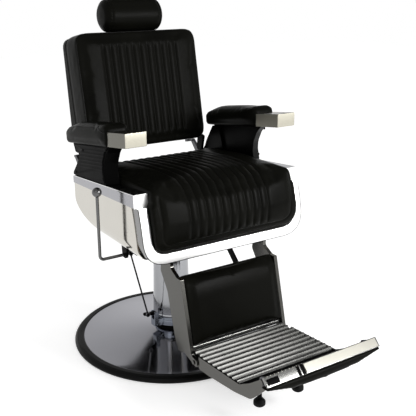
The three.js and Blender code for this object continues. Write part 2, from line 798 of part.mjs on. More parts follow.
function armPillar(side) {
  return slantFront(sideways(pillarOutline(0), side * RAIL_IN, side * (PILLAR_OUT - GAP)));
}

function armPanel(side) {
  const face = side * (PILLAR_OUT + PANEL_THICK);
  const panel = slantFront(sideways(pillarOutline(PANEL_INSET), side * PILLAR_OUT, face));
  const spots = [
    [PILLAR_WAIST_REAR - 36, armBottom(PILLAR_WAIST_REAR) - 18],
    [PILLAR_NOSE + PILLAR_SLANT + 14, armBottom(PILLAR_NOSE) - 18],
    [SHELL_REAR_Y - 26, railTop(SHELL_REAR_Y) + 16],
    [PILLAR_FOOT_FRONT + PILLAR_SLANT + 12, railTop(PILLAR_FOOT_FRONT) + 16],
  ];
  const screws = spots.map(([y, z]) => crossBar(face - side, face + side * 2, y, z, SCREW_RADIUS, 12));
  return join(panel, ...screws);
}

// ---------------------------------------------------------------- back, in its own leaning frame
// u runs up the back from its foot, w runs rearwards through its thickness.
const leanCos = Math.cos(BACK_TILT);
const leanSin = Math.sin(BACK_TILT);
const backPoint = (u, w) => [BACK_FOOT_Y + w * leanCos + u * leanSin, BACK_FOOT_Z - w * leanSin + u * leanCos];

// Tips a solid that was drawn upright, with its foot at the origin, into the leaning back.
function leaned(shape) {
  const degrees = THREE.MathUtils.radToDeg(BACK_TILT);
  return shape.rotate([-degrees, 0, 0]).translate([0, BACK_FOOT_Y, BACK_FOOT_Z]);
}

function backOutline(margin) {
  const half = BACK_HALF - margin;
  const radius = Math.max(BACK_CORNER - margin, 2);
  return outline(
    [
      [-half, margin, radius],
      [half, margin, radius],
      [half, BACK_HEIGHT - margin, radius],
      [-half, BACK_HEIGHT - margin, radius],
    ],
    6,
  );
}

function backCushion() {
  return leaned(frontwise(backOutline(0), 0, BACK_PAD));
}

const boardFront = BACK_PAD + GAP;
const boardBack = boardFront + BACK_BOARD;

function backBoard() {
  return leaned(frontwise(backOutline(8), boardFront, boardBack));
}

// Rear cover: a shallow tray that closes over the posts and the back arms.
function backCover() {
  const front = boardBack + GAP;
  const shellDepth = front + BACK_COVER;
  // Its rear face stands more upright than the cushion, so the tray is deeper at its foot.
  const tray = (margin, w0, sheet) => {
    const slope = [
      [w0, -5],
      [front + COVER_DEPTH_FOOT - sheet, -5],
      [front + COVER_DEPTH_TOP - sheet, BACK_HEIGHT + 5],
      [w0, BACK_HEIGHT + 5],
    ];
    const wedge = sideways(outline(slope), -BACK_HALF - 5, BACK_HALF + 5);
    return frontwise(backOutline(margin), w0, front + COVER_DEPTH_FOOT + 5).intersect(wedge);
  };
  const outer = tray(1, front, 0);
  const hollow = tray(1 + COVER_SHEET, front - 5, COVER_SHEET);
  const armSlot = (side) =>
    box(side * (STRAP_X - 1), side * (STRAP_X + BACK_ARM_THICK + 1), front - 5, shellDepth - COVER_SHEET, -5, BACK_CORNER - 6);
  const postSlot = (side) =>
    box(side * POST_X - POST_WIDTH / 2 - 1, side * POST_X + POST_WIDTH / 2 + 1, front - 5, front + POST_THICK + 2, BACK_HEIGHT - 12, BACK_HEIGHT + 5);
  return leaned(cut(outer, hollow, armSlot(1), armSlot(-1), postSlot(1), postSlot(-1)));
}

// Hinge arm: a strap inside the rear cover, a step outwards under the back,
// and a bar that drops past the recline pin to the cross tube.
function backArm(side) {
  const w0 = boardBack + GAP;
  const w1 = w0 + BACK_COVER - COVER_SHEET - 2 * GAP;
  const low = RECLINE_Z - BACK_LEVER;
  const reach = BACK_ARM_WIDTH / 2;
  const outer = BACK_ARM_X + BACK_ARM_THICK;
  const strap = leaned(box(side * STRAP_X, side * (STRAP_X + BACK_ARM_THICK), w0, w1, -14, STRAP_LENGTH));
  const step = leaned(box(side * STRAP_X, side * outer, w0, w1, -14, -6));
  const drop = sideways(
    outline([
      backPoint(-6, w1),
      [RECLINE_Y + reach, RECLINE_Z + 6, 14],
      [RECLINE_Y + reach - 2, low - 13, 12],
      [RECLINE_Y - reach + 2, low - 13, 12],
      [RECLINE_Y - reach, RECLINE_Z + 12, 14],
      backPoint(-6, w0),
    ]),
    side * BACK_ARM_X,
    side * outer,
  );
  const pinHole = crossBar(side * (BACK_ARM_X - 2), side * (outer + 2), RECLINE_Y, RECLINE_Z, PIN_RADIUS + RUN);
  return cut(join(strap, step, drop), pinHole);
}

function backCrossTube() {
  const end = BACK_ARM_X + 2;
  return crossBar(-end, end, RECLINE_Y, RECLINE_Z - BACK_LEVER, CROSS_TUBE_RADIUS, 20);
}

function backHingeFrame() {
  return join(backArm(1), backArm(-1), backCrossTube());
}

// Ear bolted to the rail's rear end, with the recline pin fixed in it.
function reclineBracket(side) {
  const x0 = BACK_ARM_X + BACK_ARM_THICK + GAP + 0.7;
  const x1 = x0 + 6;
  const foot = SHELL_REAR_Y + GAP;
  const z0 = railBottom(SHELL_REAR_Y) + 2;
  const z1 = railTop(SHELL_REAR_Y) - 2;
  const palm = box(side * x0, side * (RAIL_OUT - 6), foot, foot + 5, z0, z1);
  const ear = sideways(
    outline([
      [foot, z0],
      [foot, z1],
      [RECLINE_Y, RECLINE_Z + 15, 10],
      [RECLINE_Y + 15, RECLINE_Z, 12],
      [RECLINE_Y, RECLINE_Z - 15, 10],
    ]),
    side * x0,
    side * x1,
  );
  const pin = crossBar(side * (BACK_ARM_X - 4), side * x1, RECLINE_Y, RECLINE_Z, PIN_RADIUS);
  const head = crossBar(side * (BACK_ARM_X - 6), side * (BACK_ARM_X - GAP), RECLINE_Y, RECLINE_Z, PIN_RADIUS + 4);
  return join(palm, ear, pin, head);
}

const postFront = boardBack + GAP;

function headrestPost(side) {
  const x0 = side * POST_X - POST_WIDTH / 2;
  const low = BACK_HEIGHT - HEAD_SLIDE - 70;
  const high = BACK_HEIGHT + 30;
  return leaned(box(x0, x0 + POST_WIDTH, postFront + GAP, postFront + GAP + POST_THICK, low, high));
}

// Guide that holds both posts against the back board.
function postGuide() {
  const z0 = BACK_HEIGHT - 60;
  const outer = box(-POST_X - POST_WIDTH, POST_X + POST_WIDTH, postFront, postFront + POST_THICK + 7, z0, z0 + 40);
  const slot = (side) =>
    box(side * POST_X - POST_WIDTH / 2 - GAP, side * POST_X + POST_WIDTH / 2 + GAP, postFront - 2, postFront + POST_THICK + 2 * GAP, z0 - 5, z0 + 45);
  return leaned(cut(outer, slot(1), slot(-1)));
}

// A round bolster with domed ends, lying across the top of the back.
function headrestBolster() {
  const dome = 14;
  const profile = [
    [0, -HEAD_HALF],
    [HEAD_RADIUS * 0.62, -HEAD_HALF + dome * 0.22],
    [HEAD_RADIUS * 0.92, -HEAD_HALF + dome],
    [HEAD_RADIUS, -HEAD_HALF + dome * 2],
    [HEAD_RADIUS, HEAD_HALF - dome * 2],
    [HEAD_RADIUS * 0.92, HEAD_HALF - dome],
    [HEAD_RADIUS * 0.62, HEAD_HALF - dome * 0.22],
    [0, HEAD_HALF],
  ];
  const round = turned(profile, 28).rotate([0, 90, 0]);
  const centre = BACK_HEIGHT + 2 + HEAD_RADIUS;
  const cutBack = box(-HEAD_HALF - 5, HEAD_HALF + 5, HEAD_BACK, HEAD_BACK + 90, 0, BACK_HEIGHT * 2);
  return leaned(cut(round.translate([0, HEAD_SET_BACK, centre]), cutBack));
}

// Steel plate behind the bolster that joins it to its posts.
function headrestPlate() {
  const low = BACK_HEIGHT + 24;
  const z1 = low + 52;
  const x = POST_X + POST_WIDTH / 2;
  return leaned(box(-x, x, HEAD_BACK + GAP, postFront + GAP + POST_THICK, low, z1));
}

function headrestFrame() {
  return join(headrestPost(1), headrestPost(-1), headrestPlate());
}

// ---------------------------------------------------------------- pump lever
function pumpLever() {
  const bend = LEVER_BEND;
  const top = LEVER_Z + LEVER_HEIGHT - KNOB_RADIUS;
  const path = new THREE.CurvePath();
  const a = new THREE.Vector3(LEVER_INNER_X, LEVER_Y, LEVER_Z);
  const b = new THREE.Vector3(LEVER_X + bend, LEVER_Y, LEVER_Z);
  const corner = new THREE.Vector3(LEVER_X, LEVER_Y, LEVER_Z);
  const c = new THREE.Vector3(LEVER_X, LEVER_Y, LEVER_Z + bend);
  const d = new THREE.Vector3(LEVER_X, LEVER_Y, top);
  const shaft = bar(a.toArray(), b.toArray(), LEVER_RADIUS, 12);
  const upright = bar(c.toArray(), d.toArray(), LEVER_RADIUS, 12);
  path.add(new THREE.QuadraticBezierCurve3(b, corner, c));
  const section = new THREE.Shape();
  section.absarc(0, 0, LEVER_RADIUS, 0, Math.PI * 2);
  const elbow = solid(new THREE.ExtrudeGeometry(section, { steps: 6, curveSegments: 6, extrudePath: path, bevelEnabled: false }));
  const elbowEnds = [ball(b.x, b.y, b.z, LEVER_RADIUS), ball(c.x, c.y, c.z, LEVER_RADIUS)];
  const crank = sideways(
    outline([
      [LEVER_Y - 9, LEVER_Z - 8, 6],
      [LEVER_Y - 9, LEVER_Z + 8, 6],
      [LEVER_Y + CRANK_ARM + 7, LEVER_Z + 6, 5],
      [LEVER_Y + CRANK_ARM + 7, LEVER_Z - 6, 5],
    ]),
    CRANK_X - 3,
    CRANK_X + 3,
  );
  const peg = crossBar(CRANK_X, CRANK_X + 12, LEVER_Y + CRANK_ARM, LEVER_Z, 2.5, 12);
  return join(shaft, upright, elbow, ...elbowEnds, crank, peg);
}

function leverKnob() {
  const z = LEVER_Z + LEVER_HEIGHT;
  const round = ball(LEVER_X, LEVER_Y, z, KNOB_RADIUS, 20);
  const socket = bar([LEVER_X, LEVER_Y, z - KNOB_RADIUS - 4], [LEVER_X, LEVER_Y, z - KNOB_RADIUS + GAP], LEVER_RADIUS + 3, 16);
  return cut(round, socket);
}

// Two plates under the shell that carry the lever's shaft.
function leverBracket() {
  const plate = (x0, x1) =>
    sideways(
      outline([
        [LEVER_Y - 18, SHELL_BOTTOM - GAP],
        [LEVER_Y + 18, SHELL_BOTTOM - GAP],
        [LEVER_Y + 12, LEVER_Z - 10, 8],
        [LEVER_Y - 12, LEVER_Z - 10, 8],
      ]),
      x0,
      x1,
    );
  const hole = crossBar(CRANK_X - 40, CRANK_X + 60, LEVER_Y, LEVER_Z, LEVER_RADIUS + RUN, 16);
  const bridge = box(CRANK_X - 22, CRANK_X + 24, LEVER_Y - 18, LEVER_Y + 18, SHELL_BOTTOM - GAP - 5, SHELL_BOTTOM - GAP);
  return cut(join(plate(CRANK_X - 22, CRANK_X - 14), plate(CRANK_X + 16, CRANK_X + 24), bridge), hole);
}

// Thin pull rod from the lever's crank to the valve arm, with an eye at each end.
function linkRod() {
  const from = [CRANK_X + 8, LEVER_Y + CRANK_ARM, LEVER_Z];
  const to = [VALVE_PIVOT_X - VALVE_ARM, VALVE_Y - 9, VALVE_PIVOT_Z + 6];
  const rod = bar(from, to, LINK_RADIUS, 10);
  const topEye = crossBar(from[0] - 3, from[0] + 3, from[1], from[2], 7, 14);
  const topHole = crossBar(from[0] - 9, from[0] + 9, from[1], from[2], 2.5 + RUN, 14);
  const lowEye = bar([to[0], to[1] - 3, to[2]], [to[0], to[1] + 3, to[2]], 8, 14);
  const lowHole = bar([to[0], to[1] - 9, to[2]], [to[0], to[1] + 9, to[2]], 2.5 + 2, 14);
  return cut(join(rod, topEye, lowEye), topHole, lowHole);
}

// ---------------------------------------------------------------- leg rest
// A point beside the leg's straight front edge: t runs from its shoulder (0) to its foot (1).
const legPoint = (t, depth) => [LEG_TOP_Y + (LEG_FOOT_Y - LEG_TOP_Y) * t + depth, LEG_TOP_Z + (LEG_FOOT_Z - LEG_TOP_Z) * t];

function leg(side) {
  const blade = sideways(
    outline(
      [
        [LEG_PIVOT_Y - LEG_EYE, LEG_PIVOT_Z + LEG_EYE, 17],
        [LEG_PIVOT_Y - LEG_EYE + 4, LEG_PIVOT_Z - LEG_EYE - 4, 12],
        [...legPoint(0, 22), 14],
        [...legPoint(0, 0), 3],
        [...legPoint(1.08, 0), 4],
        [TOE_Y, FOOT_PIVOT_Z + 10, 6],
        [TOE_Y, FOOT_PIVOT_Z - 12, 8],
        [...legPoint(1.12, LEG_DEPTH * 0.45), 10],
        [...legPoint(1.18, LEG_DEPTH * 0.85), 22],
        [...legPoint(0.95, LEG_DEPTH * 0.94), 30],
        [...legPoint(0.3, LEG_DEPTH), 60],
        [LEG_PIVOT_Y + LEG_EYE + 22, LEG_PIVOT_Z - 50, 16],
        [LEG_PIVOT_Y + LEG_EYE + 16, LEG_PIVOT_Z - 18, 14],
        [LEG_PIVOT_Y + LEG_EYE, LEG_PIVOT_Z + LEG_EYE, 17],
      ],
      5,
    ),
    side * LEG_IN,
    side * LEG_OUT,
  );
  const pinHole = crossBar(side * (LEG_IN - 3), side * (LEG_OUT + 3), LEG_PIVOT_Y, LEG_PIVOT_Z, PIN_RADIUS + RUN);
  const footHole = crossBar(side * (LEG_IN - 3), side * (LEG_OUT + 3), FOOT_PIVOT_Y, FOOT_PIVOT_Z, PIN_RADIUS + RUN);
  return cut(blade, pinHole, footHole);
}

const calfHalf = LEG_IN - GAP;

function calfPad() {
  return sideways(
    outline([
      [...legPoint(-0.01, 3), 12],
      [...legPoint(0.05, -6), 8],
      [...legPoint(0.93, -5), 8],
      [...legPoint(0.98, 4), 3],
      [...legPoint(0.98, CALF_THICK), 3],
      [...legPoint(-0.01, CALF_THICK), 3],
    ]),
    -calfHalf,
    calfHalf,
  );
}

// Steel tray behind the calf pad, with the two lugs that hold the recline link.
function calfBacking() {
  const front = CALF_THICK + GAP;
  const plate = sideways(
    outline([
      legPoint(0.03, front),
      legPoint(0.97, front),
      legPoint(0.97, front + CALF_BACKING),
      legPoint(0.03, front + CALF_BACKING),
    ]),
    -calfHalf,
    calfHalf,
  );
  const lug = (x0) =>
    sideways(
      outline([
        legPoint(0.02 + 0.02, front + 1),
        [LINK_FRONT_Y + 10, LINK_FRONT_Z + 9, 9],
        [LINK_FRONT_Y + 10, LINK_FRONT_Z - 9, 9],
        legPoint(0.26, front + 1),
      ]),
      x0,
      x0 + 5,
    );
  const inside = LINK_X - LINK_THICK / 2 - GAP - 5;
  const outside = LINK_X + LINK_THICK / 2 + GAP;
  const pin = crossBar(inside, outside + 5, LINK_FRONT_Y, LINK_FRONT_Z, 4, 12);
  return join(plate, lug(inside), lug(outside), pin);
}

function legCrossBar() {
  return sideways(
    outline([legPoint(1.0, 12), legPoint(1.06, 12), legPoint(1.06, 30), legPoint(1.0, 30)]),
    -calfHalf,
    calfHalf,
  );
}

// Cranked flat bar from the calf tray up through the seat box to the back's cross tube.
function reclineLink() {
  const rearZ = RECLINE_Z - BACK_LEVER;
  const half = LINK_WIDTH / 2;
  const rise = 107;
  const runTop = beamTop - 9;
  const blade = sideways(
    outline([
      [LINK_FRONT_Y - half, LINK_FRONT_Z + 2, 8],
      [LINK_FRONT_Y + 2 + rise, LINK_FRONT_Z + rise + 8, 20],
      [RECLINE_Y - half, runTop, 6],
      [RECLINE_Y - half - 2, rearZ + half + 2, 8],
      [RECLINE_Y + half + 2, rearZ + half + 2, 8],
      [RECLINE_Y + half + 2, rearZ - half, 8],
      [RECLINE_Y + half - 2, runTop - LINK_WIDTH, 20],
      [LINK_FRONT_Y + 10 + rise, LINK_FRONT_Z + rise - LINK_WIDTH + 6, 20],
      [LINK_FRONT_Y + half, LINK_FRONT_Z - half, 8],
      [LINK_FRONT_Y - half, LINK_FRONT_Z - half + 2, 8],
    ]),
    LINK_X - LINK_THICK / 2,
    LINK_X + LINK_THICK / 2,
  );
  const rearHole = crossBar(LINK_X - 9, LINK_X + 9, RECLINE_Y, rearZ, CROSS_TUBE_RADIUS + RUN, 20);
  const frontHole = crossBar(LINK_X - 9, LINK_X + 9, LINK_FRONT_Y, LINK_FRONT_Z, 4 + 2, 14);
  return cut(blade, rearHole, frontHole);
}

// ---------------------------------------------------------------- foot plate
const treadUp = Math.tan(TREAD_SLOPE);
const treadZ = (y) => RIB_FIRST_Z + (RIB_FIRST_Y - y) * treadUp;
const lastRib = RIB_FIRST_Y - (RIB_COUNT - 1) * RIB_PITCH;

// Ribbed tread whose front curls up to the kick plate's hinge: one section, run across the plate.
function treadPlate() {
  const top = [];
  const start = RIB_FIRST_Y + RIB_WIDTH / 2 + 2;
  const valley = (y) => treadZ(y) - RIB_HEIGHT;
  top.push([start, valley(start)]);
  for (let i = 0; i < RIB_COUNT; i++) {
    const y = RIB_FIRST_Y - i * RIB_PITCH;
    top.push([y + RIB_WIDTH / 2, valley(y + RIB_WIDTH / 2)]);
    top.push([y + RIB_WIDTH * 0.36, treadZ(y) - 2]);
    top.push([y + RIB_WIDTH * 0.14, treadZ(y)]);
    top.push([y - RIB_WIDTH * 0.14, treadZ(y)]);
    top.push([y - RIB_WIDTH * 0.36, treadZ(y) - 2]);
    top.push([y - RIB_WIDTH / 2, valley(y - RIB_WIDTH / 2)]);
  }
  const bandStart = V2(lastRib - RIB_WIDTH / 2 - 6, valley(lastRib - RIB_WIDTH / 2 - 6));
  const bandEnd = V2(KICK_Y + 12, KICK_Z + 2);
  const knee = V2(lastRib - 52, valley(lastRib) + 10);
  const curl = new THREE.QuadraticBezierCurve(bandStart, knee, bandEnd);
  const curlPoints = curl.getPoints(7).map((p) => [p.x, p.y]);
  const normalDrop = (points) => points.map(([y, z]) => [y + TREAD_THICK * 0.35, z - TREAD_THICK]);
  const under = normalDrop([[start, valley(start)], ...curlPoints]).reverse();
  const section = new THREE.Shape([...top, ...curlPoints, ...under].map((p) => V2(...p)));
  const plate = sideways(section, -TREAD_HALF, TREAD_HALF);
  const notch = (side) => box(side * (LEG_IN - 2 * GAP), side * (TREAD_HALF + 5), TOE_Y - 4, start + 5, LEG_FOOT_Z - 60, LEG_FOOT_Z + 60);
  return cut(plate, notch(1), notch(-1));
}

// Side cheek of the foot plate. Its rear lug runs inside the leg's toe and carries the fold pin;
// its front end carries the kick plate's pin.
function footCheek(side) {
  const inner = TREAD_HALF + GAP;
  const outer = inner + SIDE_THICK;
  const under = (y) => treadZ(y) - RIB_HEIGHT + 6;
  const blade = sideways(
    outline([
      [TOE_Y - 3, FOOT_PIVOT_Z + 8, 3],
      [TOE_Y - 3, FOOT_PIVOT_Z - 13, 8],
      [TOE_Y - 60, FOOT_PIVOT_Z - 10, 30],
      [lastRib + 4, treadZ(lastRib) - 38, 60],
      [lastRib - 70, treadZ(lastRib) - 22, 40],
      [KICK_Y - 4, KICK_Z - 26, 20],
      [KICK_Y - 14, KICK_Z + 2, 8],
      [KICK_Y - 5, KICK_Z + 12, 6],
      [lastRib - 60, under(lastRib) + 24, 50],
      [lastRib - 18, under(lastRib), 30],
      [TOE_Y - 3, under(TOE_Y)],
    ]),
    side * inner,
    side * outer,
  );
  const lugOut = LEG_IN - GAP;
  const lugIn = lugOut - 7;
  const lugTop = treadZ(FOOT_PIVOT_Y) - RIB_HEIGHT - TREAD_THICK - GAP - 1;
  const lug = sideways(
    outline([
      [FOOT_PIVOT_Y + 13, lugTop, 4],
      [FOOT_PIVOT_Y + 13, FOOT_PIVOT_Z - 11, 8],
      [TOE_Y - 24, FOOT_PIVOT_Z - 9, 4],
      [TOE_Y - 24, lugTop, 2],
    ]),
    side * lugIn,
    side * lugOut,
  );
  const web = box(side * lugIn, side * outer, TOE_Y - 22, TOE_Y - 6, FOOT_PIVOT_Z - 8, lugTop - 1);
  const foldPin = crossBar(side * (lugIn + 1), side * (LEG_OUT + 3), FOOT_PIVOT_Y, FOOT_PIVOT_Z, PIN_RADIUS);
  const kickPin = crossBar(side * (inner + 1), side * (outer + GAP + EAR_THICK + 3), KICK_Y, KICK_Z, KICK_PIN_RADIUS);
  const kickHead = crossBar(
    side * (outer + 2 * GAP + EAR_THICK),
    side * (outer + GAP + EAR_THICK + 4),
    KICK_Y,
    KICK_Z,
    KICK_PIN_RADIUS + 3,
  );
  return join(blade, lug, web, foldPin, kickPin, kickHead);
}

const footTubeTop = treadZ(BUMPER_Y) - RIB_HEIGHT - TREAD_THICK - 1;

// Cross tube under the tread, with the two bumper stems screwed into it.
function footTube() {
  const tube = box(-TREAD_HALF, TREAD_HALF, BUMPER_Y - 10, BUMPER_Y + 10, footTubeTop - 20, footTubeTop);
  return join(tube, bumperStem(1), bumperStem(-1));
}

// Screw-in foot that keeps the leg rest from tipping the chair when someone steps on it.
function bumperStem(side) {
  const top = footTubeTop - 19;
  const low = BUMPER_FOOT_Z + BUMPER_HEIGHT + GAP;
  const stem = bar([side * BUMPER_X, BUMPER_Y, low], [side * BUMPER_X, BUMPER_Y, top], STEM_RADIUS, 16);
  const nut = bar([side * BUMPER_X, BUMPER_Y, top - 7], [side * BUMPER_X, BUMPER_Y, top], STEM_RADIUS + 5, 6);
  return join(stem, nut);
}

function bumperFoot(side) {
  const high = BUMPER_FOOT_Z + BUMPER_HEIGHT;
  const profile = [
    [0, BUMPER_FOOT_Z],
    [BUMPER_RADIUS - 4, BUMPER_FOOT_Z],
    [BUMPER_RADIUS, BUMPER_FOOT_Z + 4],
    [BUMPER_RADIUS, high - 8],
    [BUMPER_RADIUS - 5, high - 2],
    [STEM_RADIUS + 3, high],
    [0, high],
  ];
  return turned(profile, 24).translate([side * BUMPER_X, BUMPER_Y, 0]);
}

// ---------------------------------------------------------------- kick plate
// The bar's flat face looks up and forwards. f runs down the face, d runs back through its thickness.
const faceDown = [-Math.SQRT1_2, -Math.SQRT1_2];
const faceBack = [Math.SQRT1_2, -Math.SQRT1_2];
const kickPoint = (f, d) => [
  BAR_TOP_Y + faceDown[0] * f + faceBack[0] * d,
  BAR_TOP_Z + faceDown[1] * f + faceBack[1] * d,
];

function kickBar() {
  const section = outline([
    [...kickPoint(0, 0), 1],
    [...kickPoint(BAR_FACE, 0), 1],
    [...kickPoint(BAR_FACE, BAR_THICK), 2],
    [...kickPoint(0, BAR_THICK), 2],
  ]);
  return sideways(section, -BAR_HALF, BAR_HALF);
}

// Bare face plate on the bar; it stops short of the bar's right end.
function kickFacePlate() {
  const edge = 2;
  const section = outline([
    kickPoint(edge, -GAP),
    kickPoint(BAR_FACE - edge, -GAP),
    kickPoint(BAR_FACE - edge, -GAP - PLATE_SHEET),
    kickPoint(edge, -GAP - PLATE_SHEET),
  ]);
  return sideways(section, PLATE_FROM_X, PLATE_TO_X);
}

// Top strip behind the bar, with an ear at each end that turns on the cheek's pin.
function kickFrame() {
  const earIn = TREAD_HALF + SIDE_THICK + 2 * GAP;
  const strip = sideways(
    outline([
      kickPoint(1, BAR_THICK + GAP),
      kickPoint(7, BAR_THICK + GAP),
      kickPoint(8, BAR_THICK + 16),
      kickPoint(4, BAR_THICK + 16),
    ]),
    -earIn - EAR_THICK,
    earIn + EAR_THICK,
  );
  const ear = (side) =>
    sideways(
      outline([
        kickPoint(1, BAR_THICK + GAP),
        kickPoint(9, BAR_THICK + GAP),
        [KICK_Y - 10, KICK_Z - 10, 8],
        [KICK_Y + 11, KICK_Z - 9, 9],
        [KICK_Y + 9, KICK_Z + 11, 9],
      ]),
      side * earIn,
      side * (earIn + EAR_THICK),
    );
  const hole = crossBar(-earIn - 10, earIn + 10, KICK_Y, KICK_Z, KICK_PIN_RADIUS + RUN);
  return cut(join(strip, ear(1), ear(-1)), hole);
}

// D-shaped pad under the bar: a straight edge at the bar and an arc that hangs below it.
function kickPad() {
  const chord = kickPoint(BAR_FACE, BAR_THICK)[1] + 14;
  const low = BAR_TOP_Z - BAR_FACE * Math.SQRT1_2 - KICK_PAD_SAG - 2;
  const shape = outline(
    [
      [-KICK_PAD_HALF, chord],
      [-KICK_PAD_HALF, chord - 16, 8],
      [-KICK_PAD_HALF * 0.55, low + 5, 120],
      [0, low, 200],
      [KICK_PAD_HALF * 0.55, low + 5, 120],
      [KICK_PAD_HALF, chord - 16, 8],
      [KICK_PAD_HALF, chord],
    ],
    6,
  );
  const front = BAR_TOP_Y - BAR_FACE * Math.SQRT1_2 - 1;
  const board = frontwise(shape, front, front + KICK_PAD_THICK);
  const under = sideways(
    outline([
      kickPoint(BAR_FACE + 1, BAR_THICK + GAP),
      [front - 2, kickPoint(BAR_FACE, BAR_THICK)[1]],
      [front - 2, low - 5],
      [front + KICK_PAD_THICK + 5, low - 5],
      [front + KICK_PAD_THICK + 5, KICK_Z + 3],
      kickPoint(BAR_FACE - 8, BAR_THICK + GAP),
    ]),
    -KICK_PAD_HALF - 5,
    KICK_PAD_HALF + 5,
  );
  return board.intersect(under);
}

// ---------------------------------------------------------------- assembly
const chair = new THREE.Group();
chair.name = "barber_chair";

function add(name, shape, material) {
  const mesh = new THREE.Mesh(toGeometry(shape), material);
  mesh.name = name;
  chair.add(mesh);
}

// The sitter's left is +X.
const SIDES = { left: 1, right: -1 };

function addPair(name, make, material) {
  for (const [word, side] of Object.entries(SIDES)) {
    add(`${name}_${word}`, make(side), material());
  }
}

add("base_plate", basePlate(), castIron());
add("base_dish", baseDish(), chrome());
add("base_rim", baseRim(), rubber());
add("base_socket", baseSocket(), blackPaint());
add("base_sleeve", baseSleeve(), blackPaint());
add("thrust_bearing", thrustBearing(), steel());
add("ram", ram(), chrome());
add("pump_cylinder", pumpCylinder(), steel());
add("column_cover", columnCover(), chrome());
add("pump_collar", pumpCollar(), chrome());
add("valve_arm", valveArm(), blackPaint());

add("seat_mount", seatMount(), blackPaint());
add("frame_cross_front", frameCrossFront(), blackPaint());
add("frame_cross_rear", frameCross(CROSS_REAR_Y), blackPaint());
addPair("shell_side", shellSide, mirrorSheet);
add("shell_rear", shellRear(), blackPaint());
addPair("rail", (side) => rail(side), chrome);
add("front_trim", frontTrim(), chrome());
add("seat_board", seatBoard(), plywood());
add("seat_cushion", seatCushion(), leather());

addPair("arm_pillar", armPillar, blackPaint);
addPair("arm_panel", armPanel, blackPlastic);
addPair("arm_pad", armPad, leather);
addPair("arm_block", armBlock, chrome);

addPair("recline_bracket", reclineBracket, blackPaint);
add("back_hinge_frame", backHingeFrame(), steel());
add("back_board", backBoard(), plywood());
add("back_cushion", backCushion(), leather());
add("back_cover", backCover(), blackPlastic());
add("headrest_guide", postGuide(), steel());
add("headrest_frame", headrestFrame(), chrome());
add("headrest_bolster", headrestBolster(), leather());

add("lever_bracket", leverBracket(), blackPaint());
add("pump_lever", pumpLever(), chrome());
add("lever_knob", leverKnob(), chrome());
add("link_rod", linkRod(), steel());

addPair("leg", leg, darkChrome);
add("calf_pad", calfPad(), leather());
add("calf_backing", calfBacking(), blackPaint());
add("leg_cross_bar", legCrossBar(), darkChrome());
add("recline_link", reclineLink(), blackPaint());

add("tread_plate", treadPlate(), darkChrome());
addPair("foot_cheek", footCheek, darkChrome);
add("foot_tube", footTube(), blackPaint());
addPair("bumper_foot", bumperFoot, rubber);

add("kick_bar", kickBar(), chrome());
add("kick_face_plate", kickFacePlate(), brushedPlate());
add("kick_frame", kickFrame(), darkChrome());
add("kick_pad", kickPad(), leather());

export default chair;
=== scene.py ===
# %% [markdown]
# # Dressing a hydraulic barber chair
#
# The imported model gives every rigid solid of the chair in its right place. This lesson turns that
# frame into the chair that one would see in a shop: polished sheet, satin rubber, stuffed leather
# with sewn channels, ribbed metal. Each step says what the real piece is, how it could be made,
# and why it is made in this way. Lengths are written in millimetres and made metres at the end.

import json
import math

import bmesh
import bpy
import numpy as np
from mathutils import Matrix, Vector


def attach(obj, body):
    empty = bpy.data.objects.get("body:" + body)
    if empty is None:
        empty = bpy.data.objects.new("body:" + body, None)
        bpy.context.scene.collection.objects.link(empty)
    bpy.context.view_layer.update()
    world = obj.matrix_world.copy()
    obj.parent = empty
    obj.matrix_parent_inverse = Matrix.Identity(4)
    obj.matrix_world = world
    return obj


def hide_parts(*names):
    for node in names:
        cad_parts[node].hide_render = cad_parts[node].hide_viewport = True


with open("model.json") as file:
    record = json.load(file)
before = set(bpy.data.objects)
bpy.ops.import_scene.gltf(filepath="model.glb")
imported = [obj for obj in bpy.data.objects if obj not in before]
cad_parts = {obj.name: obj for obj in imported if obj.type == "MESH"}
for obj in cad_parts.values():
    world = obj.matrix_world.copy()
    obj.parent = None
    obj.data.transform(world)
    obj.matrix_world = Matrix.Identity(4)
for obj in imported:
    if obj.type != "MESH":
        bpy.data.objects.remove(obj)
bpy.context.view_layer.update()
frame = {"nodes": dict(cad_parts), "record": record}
bodies = frame["record"]["behaviour"]["bodies"]
body_of_node = {node: body for body, nodes in bodies.items() for node in nodes}

# %% [markdown]
# ## Camera
#
# The chair is seen from its front right, a little above the arm rests. The camera's place was
# worked out from the ellipse of the base and the straight edges of the shell, so it is set by
# numbers and not by eye. A lens of about 62 mm on a 36 mm sensor gives the same perspective.

# %% The camera
FITTED_FOCAL, FITTED_WIDTH = 718.0, 416.0  # pixels


def placed(name, data):
    """An object that shows the data, linked to the scene."""
    made = bpy.data.objects.new(name, data)
    bpy.context.scene.collection.objects.link(made)
    return made


camera_data = bpy.data.cameras.new("view_camera")
camera_data.sensor_width = 36.0
camera_data.lens = 36.0 * FITTED_FOCAL / FITTED_WIDTH
camera = placed("view_camera", camera_data)
camera.location = (-1.1543, -1.9959, 1.2110)
camera.rotation_euler = [math.radians(turn) for turn in (72.12, 0.05, -33.26)]
bpy.context.scene.camera = camera
print("lens:", round(camera_data.lens, 1), "mm")

# %% [markdown]
# ## Mesh helpers
#
# Nearly every piece is a grid of points: rings of points carried along a path. One function joins
# such rings with quads and closes the ends, and one function turns a profile about an axis. The
# points come as whole numpy arrays, which is quick and keeps each formula on one line. A closed
# mesh whose volume comes out negative is inside out, so its faces are turned round.

# %% From arrays to an object
MM = 0.001


def smooth(made, angle=35.0):
    """Smooth shading, with an edge kept sharp where its two faces turn by more than the angle."""
    made.data.polygons.foreach_set("use_smooth", np.ones(len(made.data.polygons), bool))
    made.data.set_sharp_from_angle(angle=math.radians(angle))
    return made


